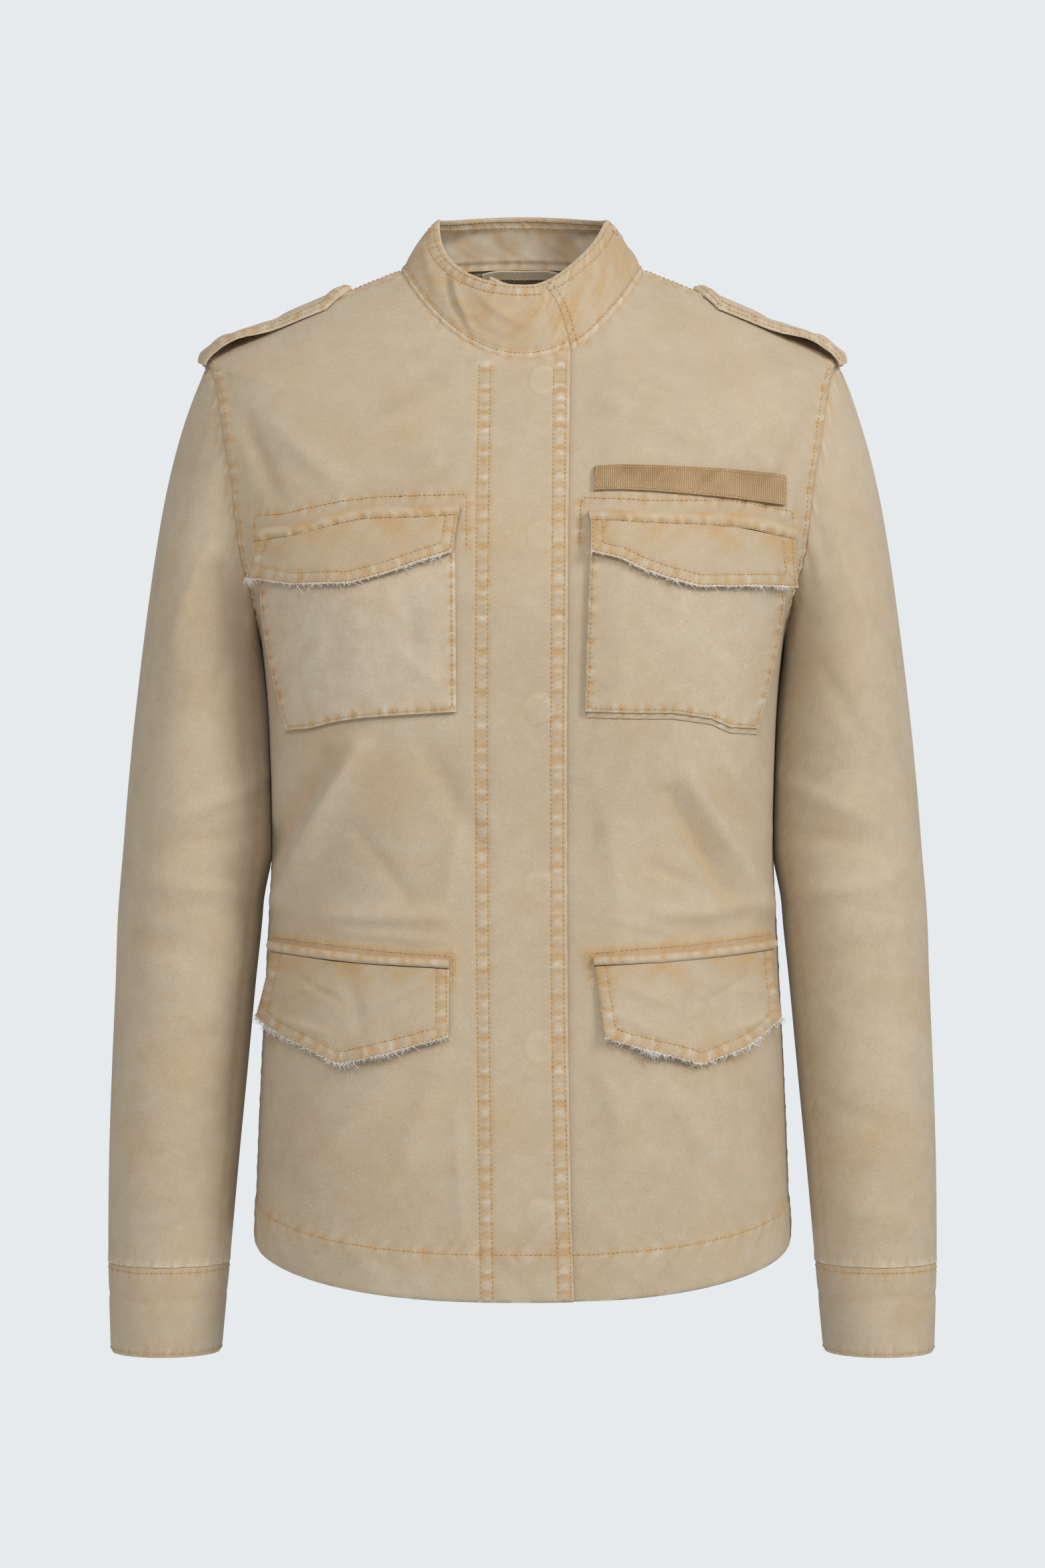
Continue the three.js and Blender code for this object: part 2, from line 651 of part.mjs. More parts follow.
/** The place on the front of the body that is seen at some distance across and a height. */
function findOnFront(across, height) {
  let bearing = Math.atan2(across, bodyCurve.frontDepth(height));
  let level = height;
  const step = 1e-3;
  for (let pass = 0; pass < 16; pass += 1) {
    const point = bodyPoint(bearing, level);
    const turned = bodyPoint(bearing + step, level).sub(point).divideScalar(step);
    const raised = bodyPoint(bearing, level + step).sub(point).divideScalar(step);
    const missX = across - point.x;
    const missZ = height - point.z;
    const scale = turned.x * raised.z - turned.z * raised.x;
    const turn = (missX * raised.z - missZ * raised.x) / scale;
    bearing += THREE.MathUtils.clamp(turn, -0.12, 0.12);
    level += THREE.MathUtils.clamp((turned.x * missZ - turned.z * missX) / scale, -20, 20);
  }
  return { bearing, level };
}

/** A table's row at a share of the way through its rows. */
function stationAt(stations, share) {
  const place = share * (stations.length - 1);
  const i = Math.min(Math.floor(place), stations.length - 2);
  return Object.fromEntries(Object.keys(stations[0]).map((name) => [
    name, THREE.MathUtils.lerp(stations[i][name], stations[i + 1][name], place - i)]));
}

/** A flat piece laid on the front of the body: the body's own points, moved out. */
function laidGeometry(stations, { out, thickness, rows, lift = 0, columns = 3, under = false }) {
  const outer = [];
  const inward = [];
  const last = (stations.length - 1) * columns;
  for (let j = 0; j <= rows; j += 1) {
    const down = j / rows;
    const skins = Array.from({ length: last + 1 }, (_, i) => {
      const station = stationAt(stations, i / last);
      const across = THREE.MathUtils.lerp(station.topAcross, station.lowAcross, down);
      const height = THREE.MathUtils.lerp(station.topHeight, station.lowHeight, down);
      const { bearing, level } = findOnFront(across, height);
      const drop = under ? lapDrop(across, UNDER_DROP) : 0;
      return bodySkin(bearing, level, drop + out + thickness + lift * down * down);
    });
    outer.push(skins.map((skin) => skin.point));
    inward.push(skins.map((skin) => skin.normal));
  }
  return wallGeometry(outer, inward, thickness);
}

/** The level at which the shoulder passes under a place seen from above. */
function levelUnder(x, y) {
  const bearing = Math.atan2(x, -y);
  const reach = Math.hypot(x, y);
  let low = SHOULDER_TIP;
  let high = NECK;
  for (let pass = 0; pass < 24; pass += 1) {
    const level = (low + high) / 2;
    const point = bodyPoint(bearing, level);
    if (Math.hypot(point.x, point.y) > reach) low = level;
    else high = level;
  }
  return { bearing, level: low };
}

/** A shoulder strap: sewn in at the shoulder tip, pointed towards the collar. */
function strapGeometry(sign) {
  const length = STRAP.outer - STRAP.corner;
  const straight = Array.from({ length: STRAP_COLUMNS }, (_, i) => (
    STRAP.outer - (length * i) / (STRAP_COLUMNS - 1)));
  const stops = [...straight, (STRAP.corner + STRAP.tip) / 2, STRAP.tip];
  const outer = [];
  const inward = [];
  for (const x of stops) {
    const point = THREE.MathUtils.clamp((x - STRAP.tip) / (STRAP.corner - STRAP.tip), 0, 1);
    const halfWidth = THREE.MathUtils.lerp(STRAP.tipHalfWidth, STRAP.halfWidth, point);
    const raise = STRAP.lift * Math.max((x - STRAP.corner) / length, 0) ** 1.5;
    const skins = Array.from({ length: STRAP_ROWS + 1 }, (_, j) => {
      const y = THREE.MathUtils.lerp(-halfWidth, halfWidth, j / STRAP_ROWS);
      const { bearing, level } = levelUnder(sign * x, y);
      return bodySkin(bearing, level, LAY_GAP + raise + FLAP_CLOTH);
    });
    outer.push(skins.map((skin) => skin.point));
    inward.push(skins.map((skin) => skin.normal));
  }
  return wallGeometry(outer, inward, FLAP_CLOTH);
}

/** The hanger loop: a narrow strip, bowed inward in its middle, inside the back neck. */
function loopGeometry() {
  const outer = [];
  const inward = [];
  const steps = 8;
  for (const edge of [0, 1]) {
    const skins = Array.from({ length: steps + 1 }, (_, i) => {
      const across = THREE.MathUtils.lerp(-1, 1, i / steps);
      const level = LOOP.below - 0.55 * LOOP.width * edge;
      const reach = bodyCurve.backDepth(level);
      const bearing = Math.PI - Math.asin((across * LOOP.halfLength) / reach);
      const bow = LOOP.bow * (1 - across * across);
      return bodySkin(bearing, level, -CLOTH - LAY_GAP - bow);
    });
    outer.push(skins.map((skin) => skin.point));
    inward.push(skins.map((skin) => skin.normal));
  }
  return wallGeometry(outer, inward, LOOP.cloth);
}

/** A snap between the two lapped fronts, square to the cloth. */
function snapMesh(name, height) {
  const { bearing, level } = findOnFront(SNAP.across, height);
  const depth = (CLOTH + UNDER_DROP) / 2;
  const { point, normal } = bodySkin(bearing, level, -depth);
  const geometry = new THREE.CylinderGeometry(SNAP.radius, SNAP.radius, SNAP.height, SNAP.sides);
  const turn = new THREE.Quaternion().setFromUnitVectors(new THREE.Vector3(0, 1, 0), normal);
  geometry.applyQuaternion(turn);
  geometry.translate(point.x, point.y, point.z);
  return piece(name, geometry, TWILL_DARK, 0.5);
}

/** The pieces that lie on one front. */
function frontDetails(side, tables) {
  const under = side === 'left';
  const chestOut = LAY_GAP + POCKET_CLOTH + LAY_GAP;
  return [
    piece(`chest_pocket_${side}`, laidGeometry(tables.pocket,
      { out: LAY_GAP, thickness: POCKET_CLOTH, rows: 7, columns: 4, under })),
    piece(`chest_band_${side}`, laidGeometry(tables.band,
      { out: LAY_GAP, thickness: BAND_CLOTH, rows: 1, under })),
    piece(`chest_flap_${side}`, laidGeometry(tables.flap,
      { out: chestOut, thickness: FLAP_CLOTH, rows: 3, lift: CHEST_FLAP_LIFT, under })),
    piece(`hip_welt_${side}`, laidGeometry(tables.welt,
      { out: LAY_GAP, thickness: WELT_CLOTH, rows: 1, columns: 5, under })),
    piece(`hip_flap_${side}`, laidGeometry(tables.hipFlap,
      { out: LAY_GAP, thickness: FLAP_CLOTH, rows: 3, columns: 5, lift: HIP_FLAP_LIFT, under })),
  ];
}

/** The whole jacket. */
function jacket() {
  const group = new THREE.Group();
  const panels = ['front_right', 'front_left', 'back'];
  const skins = Object.fromEntries(panels.map((panel) => [panel, panelSkin(panel)]));
  for (const panel of panels) group.add(piece(panel, panelGeometry(panel, skins[panel])));
  for (const [side, sign] of [['right', -1], ['left', 1]]) {
    const ring = armholeRing(sign, skins);
    const shares = sharesAround(ring);
    group.add(piece(`sleeve_${side}`, sleeveGeometry(sign, ring, shares)));
    group.add(piece(`cuff_${side}`, cuffGeometry(sign, shares)));
    group.add(piece(`shoulder_strap_${side}`, strapGeometry(sign)));
  }
  group.add(piece('collar', collarGeometry(skins)));
  group.add(...frontDetails('right', {
    pocket: CHEST_POCKET_RIGHT, band: CHEST_BAND_RIGHT, flap: CHEST_FLAP_RIGHT,
    welt: HIP_WELT_RIGHT, hipFlap: HIP_FLAP_RIGHT,
  }));
  group.add(...frontDetails('left', {
    pocket: CHEST_POCKET_LEFT, band: CHEST_BAND_LEFT, flap: CHEST_FLAP_LEFT,
    welt: HIP_WELT_LEFT, hipFlap: HIP_FLAP_LEFT,
  }));
  group.add(piece('name_tape', laidGeometry(NAME_TAPE,
    { out: LAY_GAP, thickness: TAPE_CLOTH, rows: 2, columns: 5, under: true }), TAPE_COLOUR));
  group.add(piece('hanger_loop', loopGeometry()));
  SNAP_HEIGHTS.forEach((height, i) => group.add(snapMesh(`snap_${i + 1}`, height)));
  return group;
}

const group = jacket();

export default group;
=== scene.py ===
"""Field jacket in washed cotton twill, with its seams, stitching, frayed flaps and folds.

The front faces -Y and the wearer's right is at -X. Sizes are in millimetres until a mesh is made.
"""
import logging
import math
from collections.abc import Sequence
from dataclasses import dataclass, field
from enum import Enum

import bpy
import numpy as np
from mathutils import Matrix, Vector


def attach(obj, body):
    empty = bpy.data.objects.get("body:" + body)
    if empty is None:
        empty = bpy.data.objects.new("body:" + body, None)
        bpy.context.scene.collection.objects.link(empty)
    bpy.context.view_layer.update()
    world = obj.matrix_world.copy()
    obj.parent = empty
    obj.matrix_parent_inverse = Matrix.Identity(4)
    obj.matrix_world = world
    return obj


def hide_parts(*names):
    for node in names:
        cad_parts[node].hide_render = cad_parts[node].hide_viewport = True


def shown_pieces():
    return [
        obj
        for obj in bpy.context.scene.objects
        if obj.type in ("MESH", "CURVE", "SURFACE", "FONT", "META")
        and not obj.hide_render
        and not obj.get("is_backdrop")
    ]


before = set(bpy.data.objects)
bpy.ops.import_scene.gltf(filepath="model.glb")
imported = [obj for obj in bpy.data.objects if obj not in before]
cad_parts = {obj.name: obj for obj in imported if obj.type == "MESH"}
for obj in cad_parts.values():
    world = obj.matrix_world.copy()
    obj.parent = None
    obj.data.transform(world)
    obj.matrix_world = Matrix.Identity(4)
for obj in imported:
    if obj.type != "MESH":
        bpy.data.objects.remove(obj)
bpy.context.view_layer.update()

LOG = logging.getLogger("field_jacket")
METRES = 0.001
HEM = -609.0
HEM_TOP = -583.0
UNDERARM = -225.0
SHOULDER_TIP = -60.0
NECK = 0.0
CLOTH = 1.4
SLEEVE_AROUND = 330.0
CUFF_SEAM = -621.0
CUFF_END = -677.0
CAP_END = -262.0
HEM_ROWS = 14
ARMHOLE_ROW = 7.2
LEFT_EDGE = -26.0
LAP_DROP = 4.4

Grid = np.ndarray
Piece = bpy.types.Object
Socket = bpy.types.NodeSocket
Pairs = tuple[tuple[float, float], ...]
Table = tuple[tuple[float, ...], ...]


class Panel(Enum):
    """The three cloth panels of the body."""

    FRONT_RIGHT = "front_right"
    FRONT_LEFT = "front_left"
    BACK = "back"


class Side(Enum):
    """The wearer's right or left, as the sign of X."""

    RIGHT = -1
    LEFT = 1

    @property
    def word(self) -> str:
        """The side as it stands in a piece's name."""
        return self.name.lower()


def smooth(value: Grid, low: float, high: float) -> Grid:
    """A step from 0 at low to 1 at high that leaves and arrives level: 3t^2 - 2t^3.

    Args:
        value: What the step follows.
        low: Where it is 0.
        high: Where it is 1.

    Returns:
        The step's height at each value.
    """
    t = np.clip((np.asarray(value, float) - low) / (high - low), 0.0, 1.0)
    return t * t * (3.0 - 2.0 * t)


def lapped(across: Grid) -> Grid:
    """How much of the fly's lap covers a place of the left front: 1 by the edge, 0 well beside it."""
    return 1.0 - smooth(across, 32.0, 62.0)


def bell(distance: Grid, width: float) -> Grid:
    """A soft hump: exp of minus (distance over width) squared."""
    return np.exp(-((np.asarray(distance) / width) ** 2))


def ripple(along: Grid, pitch: float, seed: float) -> Grid:
    """An uneven wave from -1 to 1: four sines whose lengths share no common measure.

    Args:
        along: The distance along the line.
        pitch: The main wave's length.
        seed: Shifts the waves so that two lines differ.

    Returns:
        The wave's height at each place.
    """
    turn = 2.0 * np.pi * np.asarray(along) / pitch
    wave = (
        0.42 * np.sin(turn + 1.7 * seed)
        + 0.28 * np.sin(turn * 0.618 + 4.1 * seed)
        + 0.24 * np.sin(turn * 1.53 + 2.3 * seed)
        + 0.16 * np.sin(turn * 0.271 + 5.9 * seed)
    )
    return np.clip(wave * 1.15, -1.0, 1.0)


def unit(vectors: Grid) -> Grid:
    """Each vector over its own length."""
    length = np.linalg.norm(vectors, axis=-1, keepdims=True)
    return vectors / np.maximum(length, 1e-9)


def grid_normals(points: Grid, closed: bool = False) -> Grid:
    """The normals of a grid: the way along a row crossed with the way from row to row.

    Args:
        points: Rows by columns by 3.
        closed: Whether each row runs all the way round.

    Returns:
        A unit vector at each point.
    """
    if closed:
        across = np.roll(points, -1, axis=1) - np.roll(points, 1, axis=1)
    else:
        across = np.gradient(points, axis=1)
    return unit(np.cross(across, np.gradient(points, axis=0)))


class MonotoneCurve:
    """A smooth curve through a short table that never overshoots its rows."""

    def __init__(self, places: Sequence[float], values: Sequence[float]) -> None:
        """Set each tangent to the weighted harmonic mean of the slopes beside it.

        Args:
            places: The table's places.
            values: The value at each place.
        """
        order = np.argsort(places)
        self.places = np.asarray(places, float)[order]
        self.values = np.asarray(values, float)[order]
        self.steps = np.diff(self.places)
        slopes = np.diff(self.values) / self.steps
        before = 2.0 * self.steps[1:] + self.steps[:-1]
        after = self.steps[1:] + 2.0 * self.steps[:-1]
        same = slopes[:-1] * slopes[1:] > 0.0
        low = np.where(same, slopes[:-1], 1.0)
        high = np.where(same, slopes[1:], 1.0)
        inner = np.where(same, (before + after) / (before / low + after / high), 0.0)
        self.tangents = np.concatenate([[slopes[0]], inner, [slopes[-1]]])

    def __call__(self, at: Grid) -> Grid:
        """The curve's value: a cubic between two rows, from their values and tangents.

        Args:
            at: The places asked for.

        Returns:
            The value at each place.
        """
        x = np.clip(np.asarray(at, float), self.places[0], self.places[-1])
        i = np.clip(np.searchsorted(self.places, x, side="right") - 1, 0, len(self.steps) - 1)
        step = self.steps[i]
        t = (x - self.places[i]) / step
        rest = 1.0 - t
        return (
            (1.0 + 2.0 * t) * rest * rest * self.values[i]
            + t * rest * rest * step * self.tangents[i]
            + t * t * (3.0 - 2.0 * t) * self.values[i + 1]
            - t * t * rest * step * self.tangents[i + 1]
        )


def column_curve(table: Table, column: int, at: Grid) -> Grid:
    """One column of a table, as a smooth curve over its first column."""
    rows = np.asarray(table, float)
    return MonotoneCurve(rows[:, 0], rows[:, column])(at)


class Line:
    """A line of points on the cloth, such as a seam or a row of stitches."""

    def __init__(self, points: Sequence[Sequence[float]] | Grid) -> None:
        """Keep the points and the distance along the line to each.

        Args:
            points: Two or three numbers a point.
        """
        self.points = np.asarray(points, float)
        gaps = np.linalg.norm(np.diff(self.points, axis=0), axis=1)
        self.along = np.concatenate([[0.0], np.cumsum(gaps)])

    @property
    def length(self) -> float:
        """The line's length."""
        return float(self.along[-1])

    def at(self, along: Grid) -> Grid:
        """The points at some distances along the line."""
        columns = [np.interp(along, self.along, values) for values in self.points.T]
        return np.stack(columns, axis=-1)

    def spaced(self, pitch: float) -> Grid:
        """Points along the line a pitch apart."""
        return self.at(np.linspace(0.0, self.length, max(int(self.length / pitch), 2)))

    def measure(self, places: Grid) -> tuple[Grid, Grid]:
        """How far along the line each place lies, and how far from it.

        Args:
            places: Any grid of places with as many numbers a place as the line has.

        Returns:
            The distance along the line and the distance from it.
        """
        flat = places.reshape(-1, places.shape[-1])
        best = np.full(len(flat), 1e9)
        where = np.zeros(len(flat))
        for start, end, begun in zip(self.points[:-1], self.points[1:], self.along[:-1], strict=True):
            way = end - start
            length = max(float(np.linalg.norm(way)), 1e-9)
            share = np.clip((flat - start) @ way / length**2, 0.0, 1.0)
            distance = np.linalg.norm(flat - start - share[:, None] * way, axis=1)
            near = distance < best
            best = np.where(near, distance, best)
            where = np.where(near, begun + share * length, where)
        return where.reshape(places.shape[:-1]), best.reshape(places.shape[:-1])


@dataclass
class Relief:
    """What lies on a smooth grid: its rise, how rusty or pale it is from dye, wear, painted highlight and
    painted shade, and how thin its edge.
    """

    rise: Grid
    rust: Grid
    pale: Grid
    thin: Grid

    @classmethod
    def level(cls, shape: tuple[int, ...]) -> "Relief":
        """A flat relief with plain dye."""
        return cls(np.zeros(shape), np.zeros(shape), np.zeros(shape), np.zeros(shape))

    def fold(self, places: Grid, row: Sequence[float], fade: Grid | float = 1.0) -> None:
        """A soft ridge or trough: its rise times a bell of the distance from a line, with a painted
        highlight along a ridge and painted shade along a trough.

        Args:
            places: The grid's places on its chart.
            row: From across and height, to across and height, width and rise.
            fade: A share that thins the fold out.
        """
        line = Line([row[0:2], row[2:4]])
        along, distance = line.measure(places)
        ends = 0.55 + 0.45 * np.sin(np.pi * np.clip(along / max(line.length, 1.0), 0.0, 1.0))
        hump = bell(distance, 0.62 * row[4]) * ends * fade
        self.rise += 1.5 * row[5] * hump
        # Painted highlight on a ridge's crest, and painted shade in a trough's hollow.
        self.pale += 0.04 * max(row[5], 0.0) * bell(distance, 0.5 * row[4]) * ends * fade
        self.rust += 0.10 * max(-row[5], 0.0) * hump

    def stitched(self, along: Grid, distance: Grid, seed: float, depth: float = 0.45) -> None:
        """The furrow that a row of stitches pulls, deeper and shallower along its way.

        Args:
            along: The distance along the stitches.
            distance: The distance from them.
            seed: Sets the unevenness.
            depth: How deep the furrow is.
        """
        uneven = 1.0 + 0.45 * ripple(along, 11.0, seed)
        self.rise -= depth * uneven * bell(distance, 1.2)
        self.rust += 0.30 * uneven * bell(distance, 1.2)

    def pucker(
        self, along: Grid, distance: Grid, seed: float, width: float, height: float, pitch: float = 8.5
    ) -> None:
        """Gathers that cross a seam: an uneven wave along it that fades with the distance.

        Args:
            along: The distance along the seam.
            distance: The distance from the gathers' middle.
            seed: Sets the unevenness.
            width: How far the gathers reach.
            height: How high they stand.
            pitch: How far apart they are.
        """
        wave = ripple(along + 0.35 * distance, pitch, seed) * bell(distance, width)
        tone = 0.35 + 2.6 * height
        self.rise += height * wave
        self.pale += tone * 0.50 * np.clip(wave, 0.0, 1.0)
        self.rust += tone * 0.66 * np.clip(-wave, 0.0, 1.0)

    def worn(self, along: Grid, distance: Grid, seed: float, width: float, amount: float) -> None:
        """Blotches of warm dye in the shelter of a seam: a long uneven wave that fades away from it.

        Args:
            along: The distance along the seam.
            distance: The distance from the blotches' middle.
            seed: Sets the unevenness.
            width: How far the blotches reach.
            amount: How strong they are.
        """
        blotch = 0.55 + 0.5 * ripple(along + 0.8 * distance, 37.0, seed)
        blotch += 0.3 * ripple(distance - along, 17.0, seed)
        self.rust += amount * np.clip(blotch, 0.0, 1.0) * bell(distance, width)

    def close(self, distance: Grid, rise: float) -> None:
        """Bring the cloth level at a seam, so that the two pieces meet, and stand it up beside it.

        Args:
            distance: The distance from the seam.
            rise: How far the cloth beside the seam stands out.
        """
        self.rise = (self.rise + rise * smooth(distance, 14.0, 3.0)) * smooth(distance, 0.0, 2.4)
        self.rust += 0.40 * bell(distance, 1.4)

    def edge(self, distance: Grid, radius: float, along: Grid, seed: float) -> None:
        """A turned edge: it rounds off over a radius, and its worn rim is paler.

        Args:
            distance: The distance from the edge.
            radius: How far in the rounding reaches.
            along: The distance along the edge.
            seed: Sets the wear's unevenness.
        """
        near = np.clip(1.0 - distance / radius, 0.0, 1.0)
        self.rise -= 0.45 * radius * near * near
        self.thin += 0.9 * radius * near * near
        worn = 0.5 + 0.5 * ripple(along, 14.0, seed)
        self.pale += 0.75 * worn * bell(distance, 1.4)


@dataclass(frozen=True)
class Finish:
    """A dyed cloth or thread: its colours, its weave and how strongly the dye varies."""

    name: str
    base: tuple[float, float, float]
    pale: tuple[float, float, float]
    rust: tuple[float, float, float]
    deep: tuple[float, float, float]
    pitch: float = 0.85
    turn: float = 58.0
    # weave: how strongly the furrows between the ribs are darkened, as painted shade.
    weave: float = 0.16
    bump: float = 0.22
    slot: str = "twill"

    @staticmethod
    def linear(colour: tuple[float, float, float]) -> tuple[float, float, float, float]:
        """A display colour of 0 to 255 as linear light.

        Args:
            colour: Red, green and blue.

        Returns:
            The linear colour, with full alpha.
        """
        share = np.asarray(colour, float) / 255.0
        light = np.where(share > 0.04045, ((share + 0.055) / 1.055) ** 2.4, share / 12.92)
        return (float(light[0]), float(light[1]), float(light[2]), 1.0)


TWILL = Finish("washed_twill", (206, 188, 160), (230, 218, 196), (205, 167, 117), (182, 161, 129))
TAPE = Finish("webbing", (216, 182, 138), (232, 204, 164), (184, 146, 100), (192, 158, 116),
              pitch=1.15, turn=0.0, weave=0.46, bump=0.7, slot="webbing")
THREAD = Finish("sewing_thread", (218, 182, 128), (234, 208, 164), (198, 156, 102), (196, 158, 108))
FRAY = Finish("frayed_yarn", (244, 241, 234), (250, 248, 244), (226, 214, 194), (228, 222, 212))


@dataclass(frozen=True)
class BodyForm:
    """The worn body: rings named by their height on the side line.

    Each row of rings is level, half width, front depth and height, back depth and height, and
    squareness, where 2 is an ellipse.
    """

    rings: Table = (
        (-609, 167.5, 127, -634, 122, -626, 2.50),
        (-560, 166.0, 125, -580, 121, -572, 2.50),
        (-500, 163.5, 121, -512, 116, -506, 2.55),
        (-430, 160.0, 116, -438, 105, -434, 2.60),
        (-360, 157.0, 114, -364, 96, -361, 2.65),
        (-295, 158.5, 118, -296, 100, -295, 2.70),
        (-225, 165.0, 122, -224, 108, -223, 2.70),
        (-174, 186.0, 117, -180, 113, -172, 2.55),
        (-140, 195.0, 109, -150, 112, -140, 2.40),
        (-96, 203.0, 98, -119, 105, -99, 2.20),
        (-60, 199.0, 88, -97, 93, -62, 2.05),
        (-39, 164.0, 81, -84, 81, -37, 2.00),
        (-15, 113.0, 73, -71, 66, -10, 2.00),
        (0, 76.0, 68, -62, 53, 9, 2.00),
    )
    climb: float = 1.7
    seam_forward: float = 12.0
    front_spread: tuple[float, float] = (-21.0, -9.0)
    back_spread: tuple[float, float] = (18.0, 12.0)
    roundness: float = 2.3

    def curve(self, column: int, level: Grid) -> Grid:
        """One column of the rings, as a smooth curve over the levels."""
        return column_curve(self.rings, column, level)

    def point(self, bearing: Grid, level: Grid) -> Grid:
        """The place at a bearing from the front centre and a ring's level.

        The ring is a superellipse: its reach is (sine over width)^n plus (cosine over depth)^n,
        to the power of -1/n. Its height moves from the side's to the centre's with the share of
        the depth to the power climb.

        Args:
            bearing: The turn from the front, towards the wearer's left.
            level: The ring.

        Returns:
            The places, with a last axis of 3.
        """
        ahead = np.cos(bearing) >= 0.0
        width = self.curve(1, level)
        depth = np.where(ahead, self.curve(2, level), self.curve(4, level))
        centre = np.where(ahead, self.curve(3, level), self.curve(5, level))
        power = self.curve(6, level)
        sine = np.abs(np.sin(bearing)) / width
        cosine = np.abs(np.cos(bearing)) / depth
        reach = (sine**power + cosine**power) ** (-1.0 / power)
        y = -reach * np.cos(bearing)
        height = level + (centre - level) * (np.abs(y) / depth) ** self.climb
        return np.stack([reach * np.sin(bearing), y, height], axis=-1)

    def normal(self, bearing: Grid, level: Grid) -> Grid:
        """The outward way: the turn's way crossed with the climb's way.

        Args:
            bearing: The turn from the front.
            level: The ring.

        Returns:
            A unit vector at each place.
        """
        low = np.maximum(level - 1.0, HEM)
        high = np.minimum(level + 1.0, NECK)
        around = self.point(bearing + 1e-3, level) - self.point(bearing - 1e-3, level)
        return unit(np.cross(around, self.point(bearing, high) - self.point(bearing, low)))

    def bearing_across(self, across: Grid | float, level: Grid) -> Grid:
        """The bearing at which a ring's front crosses a line beside the centre.

        Args:
            across: How far to the side the line is.
            level: The ring.

        Returns:
            The bearing.
        """
        power = self.curve(6, level)
        side = np.minimum(np.abs(across) / self.curve(1, level), 1.0)
        return np.arctan2(across, self.curve(2, level) * (1.0 - side**power) ** (1.0 / power))

    def seam_bearing(self, level: Grid, back: bool) -> Grid:
        """The bearing of the side, armhole or shoulder seam on the wearer's left.

        It is a quarter turn below the underarm and a little less above the shoulder tip. In
        between the armhole spreads to either side as (1 - |2c - 1|^n)^(1/n) of the climb c.

        Args:
            level: The rings.
            back: Whether the back panel's edge is asked for.

        Returns:
            The bearing.
        """
        quarter = np.pi / 2.0
        forward = np.arctan(self.seam_forward / self.curve(1, level))
        share = np.clip((level - UNDERARM) / (SHOULDER_TIP - UNDERARM), 0.0, 1.0)
        round_ = (1.0 - np.abs(2.0 * share - 1.0) ** self.roundness) ** (1.0 / self.roundness)
        low, high = self.back_spread if back else self.front_spread
        middle = quarter - forward * smooth(share, 0.0, 1.0)
        spread = np.radians(low + (high - low) * share) * round_
        return np.where(level <= UNDERARM, quarter, middle + spread)

    def solve(self, target: Grid, axes: tuple[int, int], bearing: Grid, level: Grid) -> tuple[Grid, Grid]:
        """The bearing and level whose place has two given coordinates, by Newton's steps.

        Args:
            target: The two coordinates of each place.
            axes: Which coordinates they are.
            bearing: The first guess.
            level: The first guess.

        Returns:
            The bearing and level.
        """
        step = 1e-3
        for _ in range(22):
            here = self.point(bearing, level)[..., axes]
            turned = (self.point(bearing + step, level)[..., axes] - here) / step
            raised = (self.point(bearing, level + step)[..., axes] - here) / step
            miss = target - here
            scale = turned[..., 0] * raised[..., 1] - turned[..., 1] * raised[..., 0]
            scale = np.where(np.abs(scale) < 1e-6, 1e-6, scale)
            turn = (miss[..., 0] * raised[..., 1] - miss[..., 1] * raised[..., 0]) / scale
            climb = (turned[..., 0] * miss[..., 1] - turned[..., 1] * miss[..., 0]) / scale
            bearing = bearing + np.clip(turn, -0.12, 0.12)
            level = np.clip(level + np.clip(climb, -20.0, 20.0), HEM, NECK)
        return bearing, level

    def on_front(self, chart: Grid) -> tuple[Grid, Grid]:
        """The bearing and level of front places given as across and height."""
        bearing = np.arctan2(chart[..., 0], self.curve(2, chart[..., 1]))
        return self.solve(chart, (0, 2), bearing, chart[..., 1])

    def front_line(self, chart: Sequence[Sequence[float]], out: float = 0.0) -> Line:
        """A line on the front, from places given as across and height.

        Args:
            chart: The places.
            out: How far off the cloth it runs.

        Returns:
            The line in space.
        """
        flat = Line(chart).spaced(4.0)
        bearing, level = self.on_front(flat)
        return Line(self.point(bearing, level) + out * self.normal(bearing, level))


BODY = BodyForm()


def make_mesh(name: str, places: Grid, faces: Grid, uv: Grid | None = None) -> Piece:
    """An object from millimetre places and faces of one corner count.

    Args:
        name: The object's name.
        places: Vertex places.
        faces: Vertex numbers, a row a face.
        uv: Chart places of the faces' corners in millimetres.

    Returns:
        The object, linked to the scene and riding on the jacket.
    """
    mesh = bpy.data.meshes.new(name)
    corners = faces.shape[1]
    mesh.vertices.add(len(places))
    mesh.vertices.foreach_set("co", np.ascontiguousarray(places * METRES, np.float32).ravel())
    mesh.loops.add(faces.size)
    mesh.loops.foreach_set("vertex_index", faces.astype(np.int32).ravel())
    mesh.polygons.add(len(faces))
    mesh.polygons.foreach_set("loop_start", np.arange(0, faces.size, corners, dtype=np.int32))
    mesh.update(calc_edges=True)
    mesh.validate()
    if uv is not None:
        layer = mesh.uv_layers.new(name="cloth")
        layer.data.foreach_set("uv", np.ascontiguousarray(uv, np.float32).ravel())
    mesh.shade_smooth()
    made = bpy.data.objects.new(name, mesh)
    bpy.context.scene.collection.objects.link(made)
    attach(made, "root")
    LOG.info("%s: %d places", name, len(places))
    return made


def tint(made: Piece, **shares: Grid) -> None:
    """Write shares from 0 to 1 onto an object's vertices, as named attributes.

    Args:
        made: The object.
        shares: A number a vertex, by attribute name.
    """
    for name, values in shares.items():
        layer = made.data.attributes.new(name, "FLOAT", "POINT")
        layer.data.foreach_set("value", np.clip(values, 0.0, 1.0).astype(np.float32).ravel())


